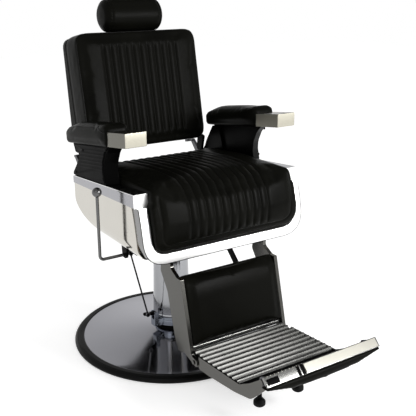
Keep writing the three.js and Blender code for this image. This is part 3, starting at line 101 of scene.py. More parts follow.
def raw_mesh(name, points, faces):
    """A mesh from points in millimetres and lists of point numbers."""
    mesh = bpy.data.meshes.new(name)
    mesh.from_pydata((np.asarray(points, float) * MM).tolist(), [], faces)
    return mesh


def shown(name, shape, mesh):
    """Writes an edited shape to a mesh and shows that as a smooth object."""
    shape.to_mesh(mesh)
    shape.free()
    return smooth(placed(name, mesh))


def piece(name, points, faces):
    """An object from points and faces, which are made to point out."""
    mesh = raw_mesh(name, points, faces)
    shape = bmesh.new()
    shape.from_mesh(mesh)
    bmesh.ops.remove_doubles(shape, verts=shape.verts, dist=1e-6)
    if shape.calc_volume(signed=True) < 0:
        bmesh.ops.reverse_faces(shape, faces=shape.faces)
    return shown(name, shape, mesh)


def loft(name, rings, loop=False):
    """Joins rings of equal length, an array of (rings, points, 3): point j of ring i meets
    point j of ring i + 1. The ends are closed with one face each, or joined to each other."""
    count, around = rings.shape[:2]
    index = np.arange(count * around).reshape(count, around)
    low = index if loop else index[:-1]
    high = np.roll(index, -1, axis=0) if loop else index[1:]
    quads = np.stack([low, np.roll(low, -1, 1), np.roll(high, -1, 1), high], axis=-1)
    faces = quads.reshape(-1, 4).tolist()
    if not loop:
        faces += [index[0][::-1].tolist(), index[-1].tolist()]
    return piece(name, rings.reshape(-1, 3), faces)


def lathe(name, profile, sides=128, centre=(0.0, 0.0)):
    """Turns a closed profile of (radius, height) about a vertical axis:
    x = cx + r cos(a), y = cy + r sin(a), z = height."""
    profile = np.asarray(profile, float)
    turn = np.linspace(0, 2 * np.pi, sides, endpoint=False)[:, None]
    radius, height = profile[None, :, 0], profile[None, :, 1]
    x = centre[0] + radius * np.cos(turn)
    y = centre[1] + radius * np.sin(turn)
    rings = np.stack([x, y, np.broadcast_to(height, x.shape)], axis=-1)
    return loft(name, rings, loop=True)


def outline(points, steps=10):
    """Rounds the corners of a closed outline of (a, b, radius). Corner C becomes the curve
    (1-t)^2 A + 2t(1-t) C + t^2 B, where A and B lie radius / tan(half the corner's angle) away from
    C on its two sides, or at most 0.49 of the side."""
    data = np.array([(*p, 0.0)[:3] for p in points], float)
    here, radius = data[:, :2], data[:, 2]
    back = np.roll(here, 1, axis=0) - here
    on = np.roll(here, -1, axis=0) - here
    back_length = np.linalg.norm(back, axis=1)
    on_length = np.linalg.norm(on, axis=1)
    angle = np.arccos(np.clip((back * on).sum(1) / (back_length * on_length), -1, 1))
    reach = np.minimum(radius / np.tan(angle / 2), 0.49 * np.minimum(back_length, on_length))
    start = here + back * (reach / back_length)[:, None]
    end = here + on * (reach / on_length)[:, None]
    t = np.linspace(0, 1, steps + 1)[None, :, None]
    curve = (1 - t) ** 2 * start[:, None] + 2 * t * (1 - t) * here[:, None] + t**2 * end[:, None]
    path = curve.reshape(-1, 2)
    return path[np.linalg.norm(path - np.roll(path, 1, axis=0), axis=1) > 1e-3]


def started_at(closed, a, b):
    """The same closed outline, beginning at its point nearest to (a, b)."""
    return np.roll(closed, -int(np.argmin(np.hypot(closed[:, 0] - a, closed[:, 1] - b))), axis=0)


def sideways(name, shape, x0, x1):
    """A plate: an outline in (y, z) carried from x0 to x1."""
    return loft(name, np.stack([np.insert(shape, 0, x, axis=1) for x in (x0, x1)]))


def tube(name, path, radius, sides=20, loop=False):
    """A round cord or rod along a path of points: circles of the radius stand square to the path.
    Each circle's two axes come from the path's direction and a fixed side vector."""
    path = np.asarray(path, float)
    along = np.roll(path, -1, 0) - np.roll(path, 1, 0) if loop else np.gradient(path, axis=0)
    along /= np.linalg.norm(along, axis=1)[:, None]
    side = np.eye(3)[int(np.argmin(np.ptp(path, axis=0)))]
    first = np.cross(along, side)
    first /= np.linalg.norm(first, axis=1)[:, None]
    second = np.cross(along, first)
    turn = np.linspace(0, 2 * np.pi, sides, endpoint=False)[None, :, None]
    circle = first[:, None] * np.cos(turn) + second[:, None] * np.sin(turn)
    return loft(name, path[:, None] + radius * circle, loop=loop)


print("helpers ready")

# %% [markdown]
# ## Copying a solid and easing its edges
#
# A frame solid whose shape is right still has knife edges, and no real sheet or casting has them.
# The light that an edge catches comes from its small radius. A copy of the solid is merged and
# its flat faces are made whole, then a Bevel modifier rounds each edge, and the copy takes the
# solid's place.

# %% Easing, fillets and dressing
def merged(node, name):
    """A copy of a frame solid with its points merged and its flat faces made whole."""
    shape = bmesh.new()
    shape.from_mesh(frame["nodes"][node].data)
    bmesh.ops.remove_doubles(shape, verts=shape.verts, dist=1e-5)
    flat = math.radians(0.6)
    bmesh.ops.dissolve_limit(shape, angle_limit=flat, verts=shape.verts, edges=shape.edges)
    return shown(name, shape, bpy.data.meshes.new(name))


def ease(made, width, segments=2, angle=38.0):
    """Rounds a piece's edges with a Bevel modifier of that width in millimetres."""
    bevel = made.modifiers.new("eased_edges", "BEVEL")
    bevel.width = width * MM
    bevel.segments = segments
    bevel.limit_method = "ANGLE"
    bevel.angle_limit = math.radians(angle)
    bevel.harden_normals = True
    return made


def dress(made, look, body, *nodes, slot=None):
    """Gives a piece its look and the body that it moves with, and hides the solids that it stands
    for.
    The slot argument is not used."""
    material, usual_slot = FINISHES[look]
    made.data.materials.clear()
    made.data.materials.append(material)
    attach(made, body)
    if nodes:
        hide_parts(*nodes)
    return made


def eased(nodes, look, width, segments=2, slot=None):
    """Copies of the frame solids in a list of words, with eased edges. Each rides where its solid
    rides, and the last one is handed back."""
    for node in nodes.split():
        made = ease(merged(node, node + "_eased"), width, segments)
        dress(made, look, body_of_node[node], node, slot=slot)
    return made


print("easing ready")

# %% [markdown]
# ## Materials: shared effects
#
# Chrome, sheet and paint on a used chair are never even: fingers leave soft smears that change
# the gloss, and polishing leaves fine scratches that run one way. Both are one node group, which
# puts out a roughness, a height and a tone. Leather's grain, pores and creases are a second group.
# Each material sets its own strength, so one group gives mirror chrome and dull steel.

# %% Node helpers
WHITE = (1.0, 1.0, 1.0, 1.0)


def fill_in(made, values):
    """Fills a node's inputs: a socket is linked, and anything else is written in."""
    for label, value in values.items():
        if isinstance(value, bpy.types.NodeSocket):
            made.id_data.links.new(value, made.inputs[label])
        else:
            made.inputs[label].default_value = value
    return made


def add_node(tree, kind, values, **settings):
    """A new shader node of that kind with its settings and its inputs."""
    made = tree.nodes.new("ShaderNode" + kind)
    for label, value in settings.items():
        setattr(made, label, value)
    return fill_in(made, values)


def coords(tree, kind="Object"):
    """The coordinates of the piece itself, or of another kind."""
    return add_node(tree, "TexCoord", {}).outputs[kind]


def noise(vector, scale, detail=3.0, roughness=0.5):
    """A noise texture's value, with its scale in features per metre."""
    values = {"Vector": vector, "Scale": scale, "Detail": detail, "Roughness": roughness}
    return add_node(vector.id_data, "TexNoise", values).outputs["Fac"]


def ranged(value, low, high, to_low, to_high):
    """Maps a value from one range to another."""
    ends = {"From Min": low, "From Max": high, "To Min": to_low, "To Max": to_high}
    return add_node(value.id_data, "MapRange", {"Value": value, **ends}).outputs["Result"]


def combine(operation, first, second):
    """A math node between a socket and a socket or number."""
    values = {0: first, 1: second}
    return add_node(first.id_data, "Math", values, operation=operation).outputs["Value"]


def slope_level(tree, fall):
    """Height over a plane that falls towards the front: z + y * fall."""
    place = add_node(tree, "SeparateXYZ", {"Vector": coords(tree)}).outputs
    return combine("ADD", place["Z"], combine("MULTIPLY", place["Y"], fall))


def new_group(name, inputs):
    """An empty shader group with float inputs, which puts out a roughness, a height and a tone."""
    group = bpy.data.node_groups.new(name, "ShaderNodeTree")
    for label, value in inputs.items():
        socket = group.interface.new_socket(label, in_out="INPUT", socket_type="NodeSocketFloat")
        socket.default_value = value
    for label in ("Roughness", "Height", "Tone"):
        group.interface.new_socket(label, in_out="OUTPUT", socket_type="NodeSocketFloat")
    return group, group.nodes.new("NodeGroupInput").outputs, group.nodes.new("NodeGroupOutput")


print("node helpers ready")

# %% The smear-and-scratch group
metal_group, given, taken = new_group("smears_and_scratches", {"Gloss": 0.1, "Smear": 0.06})
coordinates = coords(metal_group)
smear = noise(coordinates, 9.0, 4.0, 0.6)
drawn_out = {"Vector": coordinates, "Scale": (30.0, 30.0, 900.0)}
scratches = add_node(metal_group, "Mapping", drawn_out).outputs["Vector"]
smeared = ranged(smear, 0.35, 0.75, 0.0, 1.0)
smear_part = combine("MULTIPLY", smeared, given["Smear"])
results = {
    "Roughness": combine("ADD", smear_part, given["Gloss"]),
    "Height": noise(scratches, 1.0, 2.0),
    "Tone": ranged(smear, 0.3, 0.8, 1.0, 0.94),
}
fill_in(taken, results)
print("group:", metal_group.name)

# %% The leather group
leather_group, given, taken = new_group("leather_grain", {"Grain": 1.0})
coordinates = coords(leather_group)
grain_size = {"Vector": coordinates, "Scale": 620.0, "Randomness": 0.9}
cells = add_node(leather_group, "TexVoronoi", grain_size, feature="DISTANCE_TO_EDGE")
pebble = ranged(cells.outputs["Distance"], 0.0, 0.32, 0.0, 1.0)
grain = combine("MULTIPLY", pebble, given["Grain"])
crease = noise(coordinates, 55.0, 5.0, 0.6)
wear = noise(coordinates, 6.0, 3.0, 0.5)
results = {
    "Roughness": ranged(wear, 0.3, 0.75, 0.30, 0.42),
    "Height": combine("ADD", grain, crease),
    "Tone": ranged(wear, 0.3, 0.75, 0.75, 1.3),
}
fill_in(taken, results)
print("group:", leather_group.name)

# %% [markdown]
# ## Materials: the finishes
#
# Every metal here is one recipe with its own colour, gloss and smear: a metallic Principled shader
# whose roughness comes from the group, and a Bump node that reads the scratches. The colour goes
# over to a darker one where the group's tone is low. Leather is dark and keeps its light in a
# broad soft sheen, because the grain spreads the highlight.

# %% Making one finish
def finish(name, group, colour, metallic, values, bump, distance, specular=0.5, second=None):
    """A Principled material: group values in, two colours mixed by the tone, roughness, and a
    bump of that strength and distance in metres. The second colour shows where the tone is low."""
    material = bpy.data.materials.new(name)
    material.use_nodes = True
    tree = material.node_tree
    effect = add_node(tree, "Group", values, node_tree=group).outputs
    dark = second if second else tuple(0.8 * c for c in colour)
    share = ranged(effect["Tone"], 0.7, 1.0, 0.0, 1.0)
    colours = {"A": (*dark, 1.0), "B": (*colour, 1.0), "Factor": share}
    tint = add_node(tree, "Mix", colours, data_type="RGBA")
    heights = {"Strength": bump, "Distance": distance, "Height": effect["Height"]}
    relief = add_node(tree, "Bump", heights)
    values = {
        "Metallic": metallic,
        "Specular IOR Level": specular,
        "Base Color": tint.outputs["Result"],
        "Roughness": effect["Roughness"],
        "Normal": relief.outputs["Normal"],
    }
    fill_in(tree.nodes["Principled BSDF"], values)
    return material


def metal(name, colour, gloss, smear):
    """A metallic finish of that colour."""
    return finish(name, metal_group, colour, 1.0, {"Gloss": gloss, "Smear": smear}, 0.03, 0.0002)


def coated(name, colour, gloss, smear, *rest):
    """Paint, plastic or rubber: the same effect without the metal."""
    return finish(name, metal_group, colour, 0.0, {"Gloss": gloss, "Smear": smear}, *rest)


def grained(name, colour, second, grain, *rest):
    """Leather, or wood with a fine grain."""
    return finish(name, leather_group, colour, 0.0, {"Grain": grain}, *rest, second)


METALS = {  # slot, colour, gloss, smear
    "dish_chrome": ("base_chrome", (0.40, 0.40, 0.43), 0.09, 0.04),
    "column_chrome": ("column_chrome", (0.33, 0.335, 0.35), 0.12, 0.05),
    "collar_chrome": ("column_chrome", (0.34, 0.37, 0.42), 0.14, 0.06),
    "sheet_chrome": ("shell_sheet", (0.60, 0.58, 0.53), 0.07, 0.05),
    "rail_chrome": ("rail_chrome", (0.36, 0.36, 0.38), 0.10, 0.06),
    "trim_chrome": ("rail_chrome", (0.97, 0.97, 0.96), 0.34, 0.05),
    # Painted shade: a darker copy of the trim's metal for the band's side.
    "trim_side_painted_shade": ("rail_chrome", (0.27, 0.27, 0.27), 0.12, 0.06),
    "block_chrome": ("rail_chrome", (0.46, 0.44, 0.37), 0.34, 0.06),
    # Painted shade: a darker copy of block_chrome for the block's outer side and top.
    "block_side": ("rail_chrome", (0.13, 0.125, 0.105), 0.20, 0.06),
    "leg_chrome": ("leg_chrome", (0.098, 0.096, 0.089), 0.16, 0.08),
    "tread_metal": ("leg_chrome", (0.085, 0.085, 0.081), 0.22, 0.08),
    "rod_chrome": ("rod_chrome", (0.13, 0.13, 0.13), 0.14, 0.06),
    "plate_metal": ("bare_plate", (0.38, 0.37, 0.33), 0.30, 0.08),
    "bar_metal": ("rail_chrome", (0.24, 0.24, 0.23), 0.20, 0.08),
    "dark_steel": ("bearing_steel", (0.10, 0.10, 0.105), 0.35, 0.12),
    "ram_chrome": ("ram_chrome", (0.60, 0.61, 0.63), 0.08, 0.04),
}
COATINGS = {  # slot, colour, gloss, smear, bump, its distance, specular
    "cast_black": ("casting", (0.006, 0.006, 0.006), 0.62, 0.12, 0.5, 0.0004, 0.1),
    "black_paint": ("black_frame", (0.0012, 0.0012, 0.0012), 0.32, 0.14, 0.08, 0.0004, 0.03),
    "edge_rubber": ("base_rubber", (0.003, 0.003, 0.003), 0.36, 0.14, 0.2, 0.0004, 0.12),
    "foot_rubber": ("foot_rubber", (0.004, 0.004, 0.004), 0.5, 0.12, 0.3, 0.0004, 0.1),
    "ribbed_panel": ("black_plastic", (0.005, 0.005, 0.005), 0.42, 0.12, 0.15, 0.0004, 0.025),
}
DARK_HIDE, DARK_CORD = (0.0042, 0.0042, 0.0031), (0.003, 0.003, 0.0025)
GRAINED = {  # slot, colour, second colour, grain, bump, its distance, specular
    "leather": ("black_leather", DARK_HIDE, (0.0024, 0.0024, 0.0018), 0.8, 0.22, 0.0003, 0.034),
    "piping_leather": ("black_leather", DARK_CORD, (0.001, 0.001, 0.0008), 0.5, 0.2, 0.0002, 0.08),
    "plywood": ("plywood", (0.42, 0.27, 0.14), (0.30, 0.18, 0.09), 0.2, 0.3, 0.0004, 0.3),
}
FINISHES = {}
for make, table in ((metal, METALS), (coated, COATINGS), (grained, GRAINED)):
    for name, (slot, *values) in table.items():
        FINISHES[name] = (make(name, *values), slot)
print("finishes:", len(bpy.data.materials))

# %% [markdown]
# ## The floor and the light
#
# A plain pale floor and a plain white world keep the colours as they are written. The background
# is white because camera and mirror rays see a world of strength 1, and the floor adds just enough
# light of its own for those rays to reach white, so its soft shadow stays. Overhead, mirrors see a
# grey ceiling, as in a studio, which gives chrome its form. A dark card hangs high up behind the
# chair. Only mirror rays see it, and it gives the base dish part of its black reflection.

# %% World
world = bpy.data.worlds.new("studio")
bpy.context.scene.world = world
world.use_nodes = True
tree = world.node_tree
tree.nodes.clear()
rays = add_node(tree, "LightPath", {}).outputs
mirror_rays = combine("MAXIMUM", rays["Is Glossy Ray"], rays["Is Transmission Ray"])
direction = {"Vector": coords(tree, "Generated")}
upward = add_node(tree, "SeparateXYZ", direction).outputs["Z"]
ceiling = ranged(upward, 0.05, 0.75, 1.0, 0.42)
soft, mirrored, seen = (
    add_node(tree, "Background", {"Color": WHITE, "Strength": strength}).outputs[0]
    for strength in (0.62, ceiling, 1.0)
)
mixed = add_node(tree, "MixShader", {0: mirror_rays, 1: soft, 2: mirrored}).outputs[0]
mixed = add_node(tree, "MixShader", {0: rays["Is Camera Ray"], 1: mixed, 2: seen}).outputs[0]
add_node(tree, "OutputWorld", {"Surface": mixed})
bpy.context.scene.view_settings.view_transform = "Standard"
print("world ready")

# %% Floor and lamps
FLOOR_REACH = 9000.0
corner = np.array([[-1, -1, 0], [1, -1, 0], [1, 1, 0], [-1, 1, 0]], float) * FLOOR_REACH
floor = piece("floor", corner, [[0, 1, 2, 3]])
floor_white = bpy.data.materials.new("floor_white")
floor_white.use_nodes = True
tree = floor_white.node_tree
speck = noise(coords(tree), 40.0)
rays = add_node(tree, "LightPath", {}).outputs
seen_rays = combine("MAXIMUM", rays["Is Camera Ray"], rays["Is Glossy Ray"])
values = {
    "Roughness": 0.9,
    "Specular IOR Level": 0.1,
    "Base Color": ranged(speck, 0.0, 1.0, 0.88, 0.90),
    "Emission Color": WHITE,
    "Emission Strength": combine("MULTIPLY", seen_rays, 0.5),
}
fill_in(tree.nodes["Principled BSDF"], values)
floor.data.materials.append(floor_white)


def lamp(name, place, target, size, power):
    """A square area lamp at a point, turned to another point."""
    data = bpy.data.lights.new(name, "AREA")
    data.size = size
    data.energy = power
    made = placed(name, data)
    made.location = place
    made.rotation_euler = (Vector(target) - Vector(place)).to_track_quat("-Z", "Y").to_euler()
    return made


key = lamp("key_lamp", (1.1, -2.4, 1.35), (0, -0.1, 0.65), 0.75, 40)
fill = lamp("fill_lamp", (-2.2, -2.0, 2.9), (0, -0.1, 0.6), 1.5, 6)
card = [(5640, 2050, 3900), (2150, 5600, 4150), (2150, 5600, 12000), (5640, 2050, 12000)]
flag = piece("dark_flag", card, [[0, 1, 2, 3]])
cloth_black = coated("flag_cloth", (0.002, 0.002, 0.002), 0.9, 0.05, 0.1, 0.0004, 0.0)
flag.data.materials.append(cloth_black)
flag.visible_camera = flag.visible_diffuse = False
flag.visible_shadow = flag.visible_transmission = False
print("lamps:", key.name, fill.name)

# %% [markdown]
# ## Base: dish, edge ring and socket
#
# The base is a heavy plate under a thin spun dish. Spinning gives a perfectly round sheet
# whose height changes smoothly with the radius, so it is made as a turned profile:
# height = foot + rise * (share of the way in) ^ 1.25. The rubber ring is a moulded section with
# a lip over the dish's edge, and its fine groove makes the double line seen along it.

# %% Turned base
DISH_OUT, DISH_IN, DISH_WALL = 307.7, 60.3, 3.0
PLATE_TOP = 12.3


def dish_height(radius):
    """18.3 mm at the rim, plus 28 mm times the inward share to the power 1.25."""
    inward = np.clip((DISH_OUT - radius) / (DISH_OUT - 60.0), 0, 1)
    return 18.3 + 28.0 * inward**1.25


reach = np.linspace(DISH_OUT, DISH_IN, 60)
dish_top = np.stack([reach, dish_height(reach)], axis=1)
dish_under = dish_top[::-1] - (0.0, DISH_WALL)
dish_foot = np.array([[DISH_OUT, PLATE_TOP + 0.3]])
dish = lathe("dish", np.concatenate([dish_top, dish_under, dish_foot]), 160)
dress(dish, "dish_chrome", "base", "base_dish")

ring_section = outline(
    [(308, 0), (336, 0, 2), (340, 4, 3), (340, 9, 4), (334, 16, 3), (328.6, 18.6, 1)]
    + [(327.6, 17.6, 1), (326.4, 19.4, 1), (324, 20, 2), (311, 20, 2), (308, 18, 1)],
    6,
)
dress(lathe("edge_ring", ring_section, 160), "edge_rubber", "base", "base_rim")

socket_section = outline(
    [(50.3, PLATE_TOP), (60, PLATE_TOP), (60, 50, 3), (56, 55, 3), (51.3, 57, 1), (50.3, 56, 0.5)],
    6,
)
dress(lathe("socket_ring", socket_section, 96), "black_paint", "base", "base_socket")
sleeve_section = outline([(46, PLATE_TOP), (50, PLATE_TOP), (50, 260, 1), (46, 260, 1)], 4)
dress(lathe("sleeve_tube", sleeve_section, 96), "black_paint", "base", "base_sleeve")
eased("base_plate", "cast_black", 1.5)
eased("thrust_bearing", "dark_steel", 0.6)
eased("ram", "ram_chrome", 0.6)
eased("pump_cylinder", "dark_steel", 0.8)
print("dish rises to", round(float(dish_top[-1, 1]), 1), "mm")

# %% [markdown]
# ## Column and collar
#
# The column's cover is a spun cone with a rolled lip at each end, and the collar below
# it carries the pump's valve box. The cover is one turned section with its wall. The collar keeps
# the frame's solid, eased, and gets a thin turned band with a dark line pressed into it.

# %% Column cover, collar and its band
cover_section = outline(
    [(61, 91.6), (64, 91.6, 1), (64.4, 96, 1), (63.7, 100, 1), (57.4, 424, 1)]
    + [(57.8, 427, 1), (57, 429.7, 1), (54, 429.7)],
    5,
)
dress(lathe("column_cone", cover_section), "column_chrome", "seat", "column_cover")
eased("pump_collar", "collar_chrome", 0.8)
band_section = outline(
    [(61.8, 64), (62.7, 64, 0.3), (62.7, 77, 0.4), (62.1, 78.2), (62.7, 79.4, 0.4)]
    + [(62.7, 85, 0.3), (61.8, 85)],
    4,
)
dress(lathe("collar_band", band_section, 96), "collar_chrome", "seat")
eased("valve_arm", "black_paint", 0.8)
print("column top:", cover_section[:, 1].max())

# %% [markdown]
# ## Seat frame
#
# The welded frame under the seat is black painted steel: a mount plate, two beams, cross members
# and the hinge plates of the leg rest. It shows from below and behind, so the frame's
# own solids are used with eased edges and a satin paint.

# %% Painted frame
eased("seat_mount frame_cross_front frame_cross_rear shell_rear", "black_paint", 1.2)
eased("lever_bracket recline_link", "black_paint", 1.2)
eased("recline_bracket_left recline_bracket_right", "black_paint", 0.8)
eased("seat_board back_board", "plywood", 1.5)
print("frame pieces eased")

# %% [markdown]
# ## Shell sides
#
# Each side of the seat box is one polished sheet, rolled under the seat at its foot. It is a
# sheet of points first: its columns run down the side and round the lower corner, its rows from
# the front trim to the rear, and below a height of 526 mm the rear edge runs forwards as a
# parabola, where the corner is cut away. A Solidify modifier then gives the sheet its 3 mm.

# %% Trim line and rail line
TRIM_FOOT, TRIM_RISE, TRIM_DEPTH, TRIM_WIDTH = 432.0, 166.0, 36.0, 31.0
RAIL_FRONT, RAIL_RUN, RAIL_FOOT, RAIL_CREST = -304.0, 422.0, 598.0, 637.0
SHELL_HALF, SHELL_FLOOR, SHELL_TOP, SHELL_LIP = 287.0, 441.0, 620.0, 195.0
CUT_START = 526.0
CORNER = 78.0


def trim_front(z):
    """Depth of the trim's front at a height: it stands 30 mm further back at the rail than
    at its foot, by the share of the height to the power 1.8."""
    share = np.clip((z - TRIM_FOOT) / TRIM_RISE, 0, None)
    return -348.0 + 30.0 * share**1.8


def rail_bottom(y):
    """The rail's underside falls 22 mm over its length."""
    return RAIL_FOOT - 22.0 * (y - RAIL_FRONT) / RAIL_RUN


def rail_top(y):
    """Its top falls 37 mm, so the rail tapers from 39 to 24 mm."""
    return RAIL_CREST - 37.0 * (y - RAIL_FRONT) / RAIL_RUN


def shell_rear_line(z):
    """Rear edge: y = 118, less 205 mm times the square of the drop's share below z = 526."""
    drop = np.clip((CUT_START - z) / 85.0, 0, 1)
    return 118.0 - 205.0 * drop**2


def open_sheet(name, points):
    """A grid of points, an array of (rows, columns, 3), joined with quads and left open."""
    rows, columns = points.shape[:2]
    index = np.arange(rows * columns).reshape(rows, columns)
    quads = np.stack([index[:-1, :-1], index[1:, :-1], index[1:, 1:], index[:-1, 1:]], axis=-1)
    mesh = raw_mesh(name, points.reshape(-1, 3), quads.reshape(-1, 4).tolist())
    return smooth(placed(name, mesh), 60.0)


def shell_side(name, side):
    """Half of a U section, (287, top) down to (195, 441) round a corner of 78 mm, carried in y.
    Above 526 mm each height is stretched, so that the sheet ends under the sloping rail."""
    steps = 28
    box = [(SHELL_HALF, SHELL_TOP), (SHELL_HALF, SHELL_FLOOR, CORNER)]
    box += [(SHELL_LIP, SHELL_FLOOR), (SHELL_LIP, SHELL_TOP)]
    half = started_at(outline(box, steps), SHELL_HALF, SHELL_TOP)[: steps + 3]
    heights = np.linspace(SHELL_TOP, half[1, 1], 14, endpoint=False)
    upright = np.stack([np.full(14, SHELL_HALF), heights], axis=1)
    foot = np.stack([np.linspace(half[-2, 0], SHELL_LIP, 8)[1:], np.full(7, SHELL_FLOOR)], axis=1)
    across, up = np.concatenate([upright, half[1:-1], foot]).T
    t = np.linspace(0, 1, 60)[:, None]
    low = np.minimum(up, CUT_START)
    share = np.clip((up - CUT_START) / (SHELL_TOP - CUT_START), 0, 1)
    front = trim_front(low + share * 70.5) + TRIM_DEPTH + 0.3
    y = front + (shell_rear_line(up) - front) * t
    x = np.broadcast_to(side * across, y.shape)
    z = low + share * (rail_bottom(y) - 0.3 - CUT_START)
    sheet = np.stack([x, y, z], axis=-1)
    made = open_sheet(name, sheet[:, ::-1] if side > 0 else sheet)
    wall = made.modifiers.new("sheet_wall", "SOLIDIFY")
    wall.thickness = 3.0 * MM
    wall.offset = -1.0
    return ease(made, 0.5)


SIDES = {"left": 1, "right": -1}
for word, side in SIDES.items():
    sheet = shell_side("shell_sheet_" + word, side)
    dress(sheet, "sheet_chrome", "seat", "shell_side_" + word)
    eased("rail_" + word, "rail_chrome", 1.6, 3)
print("shell sides and rails made")

# %% [markdown]
# ## Rail caps and beads
#
# Each top rail ends in a bright cap at the front, and its outer top edge catches a thin line of
# light. Both are painted highlights in the bright trim metal. The cap is a short slanted block over
# the rail's end. The line is a fine round bead along the edge, because an edge radius alone is too
# small to show at this distance.

# %% Capping the rails
for word, side in SIDES.items():
    inner, outer = side * 246.2, side * 291.2
    face = outline([(inner, 598.2, 3), (outer, 598.2, 3), (outer, 637.2, 4), (inner, 637.2, 4)], 6)
    slant = 3.0 * (face[:, 1] - RAIL_FOOT) / (RAIL_CREST - RAIL_FOOT)
    rings = [np.column_stack([face[:, 0], y + slant, face[:, 1]]) for y in (-303.8, -306.4)]
    # Painted highlight: the cap lays the bright trim metal over the rail's end.
    cap = ease(loft("rail_cap_" + word, np.stack(rings)), 0.6)
    dress(cap, "trim_chrome", "seat")
    # Painted highlight: a thin bead of the bright trim metal along the rail's outer top edge.
    y = np.linspace(-302.0, 117.0, 24)
    edge = np.column_stack([np.full(24, side * 289.3), y, rail_top(y) - 0.7])
    bead = tube("rail_bead_" + word, edge, 1.1, 10)
    dress(bead, "trim_chrome", "seat")
print("rails capped")

# %% [markdown]
# ## Front trim
#
# The trim is a wide polished band that runs down one side, under the cushion and up the other, and
# leans forward towards its foot. Its section is a rounded rectangle, a mm across the band and b mm
# through it. Each section point is set between the outer and the inner U line at a / 31, and
# its depth is the front line's plus b. The side of the band carries painted shade: a strip in a
# darker copy of the metal, and a fine black cord beside the bright front for the dark line of shade
# along its edge. The three are swept by one function with three sections.

# %% Sweeping the trim
TRIM_TOP = 597.7


def u_line(half, bottom, radius):
    """The U as an open line from the top right to the top left, with even steps on its legs."""
    box = [(half, TRIM_TOP), (half, bottom, radius), (-half, bottom, radius), (-half, TRIM_TOP)]
    line = started_at(outline(box, 24), half, TRIM_TOP)
    last = len(line) - 1
    place = np.concatenate(
        [np.linspace(0, 1, 16, endpoint=False), np.arange(1, 25)]
        + [np.linspace(25, 26, 30, endpoint=False), np.arange(26, last - 1)]
        + [np.linspace(last - 1, last, 17)]
    )
    return np.stack([np.interp(place, np.arange(last + 1), axis) for axis in line.T], axis=1)


outer_line = u_line(285.0, TRIM_FOOT, CORNER)
inner_line = u_line(285.0 - TRIM_WIDTH, TRIM_FOOT + TRIM_WIDTH, CORNER - TRIM_WIDTH)


def trim_sweep(name, section):
    """Carries a closed section of (a, b) along the U."""
    share = section[None, :, 0] / TRIM_WIDTH
    span = inner_line - outer_line
    x = outer_line[:, :1] + span[:, :1] * share
    z = outer_line[:, 1:] + span[:, 1:] * share
    y = trim_front(z) + section[None, :, 1]
    over = np.clip((z - 540.0) / (TRIM_TOP - 540.0), 0, 1)
    return loft(name, np.stack([x, y, z + over * (rail_bottom(y) - RAIL_FOOT)], axis=-1))


corners = [(1.2, 0, 2), (TRIM_WIDTH, 0, 5), (TRIM_WIDTH, TRIM_DEPTH, 3), (1.2, TRIM_DEPTH, 1)]
band = outline(corners, 6)
dress(trim_sweep("trim_band", band), "trim_chrome", "seat", "front_trim")
# Painted shade: the band's side is a thin strip in a darker copy of its metal.
edge = outline([(0, 1.8, 0.5), (1.0, 1.8, 0.3), (1.0, TRIM_DEPTH, 0.3), (0, TRIM_DEPTH, 0.5)], 3)
dress(trim_sweep("trim_side_painted_shade_strip", edge), "trim_side_painted_shade", "seat")
# Painted shade: a black cord along the band's outer front edge stands for the dark line of shade
# there.
turn = np.linspace(0, 2 * np.pi, 8, endpoint=False)
groove = 0.9 + 0.9 * np.stack([np.cos(turn), np.sin(turn)], axis=1)
dress(trim_sweep("trim_painted_shade_line", groove), "black_paint", "seat")
print("trim rings:", len(outer_line))

# %% [markdown]
# ## Arms without their pads
#
# An arm is a waisted pillar of painted steel, a black moulded panel screwed to its outside, and
# a bright cast block at the front end. The outlines are right in the frame, so the solids are
# copied and eased. Fine ribs on the panel come from its material: a sine of the height over the
# arm's slope. The block's outer side and top carry painted shade: those faces take a darker copy
# of its metal, to show that they mirror less light.

# %% Pillars, panels and blocks
ARM_FALL = math.tan(math.radians(7.8))
PANEL_RIB_PITCH = 0.011
tree = FINISHES["ribbed_panel"][0].node_tree
level = slope_level(tree, ARM_FALL)
turns = combine("MULTIPLY", level, 2 * math.pi / PANEL_RIB_PITCH)
ribs = ranged(combine("SINE", turns, 0.0), -0.2, 0.9, 0.0, 1.0)
near_top = ranged(level, 0.640, 0.655, 0.0, 1.0)
heights = {"Strength": 0.8, "Distance": 0.0012, "Height": combine("MULTIPLY", ribs, near_top)}
pressed = add_node(tree, "Bump", heights)
tree.links.new(pressed.outputs["Normal"], tree.nodes["Bump"].inputs["Normal"])
for word, side in SIDES.items():
    eased("arm_pillar_" + word, "black_paint", 2.0, 3)
    eased("arm_panel_" + word, "ribbed_panel", 1.0)
    block = eased("arm_block_" + word, "block_chrome", 1.2, 3)
    # Painted shade: faces turned outwards or upwards take the darker copy of the block's metal.
    block.data.materials.append(FINISHES["block_side"][0])
    for face in block.data.polygons:
        face.material_index = int(face.normal.x * side > 0.7 or face.normal.z > 0.7)
print("arms eased")

# %% [markdown]
# ## Leg rest, foot plate and kick plate
#
# Legs, cheeks and the kick plate's frame are flat metal plates with rounded edges: eased copies
# again, in the brown-grey chrome of the photo. The tread is one bent sheet with ten pressed
# ribs. Its top line is a sum of smooth bumps on a slope, and then a curve that climbs
# to the kick plate, and the underside follows it without the ribs. The valleys carry painted shade:
# the metal's second colour, a near black, shows there, chosen by the height over the slope.

# %% Flat metal of the leg rest
for word in SIDES:
    eased("leg_" + word, "leg_chrome", 2.5, 3)
    eased("foot_cheek_" + word, "leg_chrome", 1.0)
eased("leg_cross_bar", "bar_metal", 2.0, 3, slot="leg_chrome")
eased("calf_backing", "black_paint", 0.8)
eased("foot_tube", "black_paint", 1.5)
eased("kick_bar", "bar_metal", 1.5, 3)
eased("kick_face_plate", "plate_metal", 0.5)
eased("kick_frame", "dark_steel", 0.8, slot="leg_chrome")
print("flat metal eased")

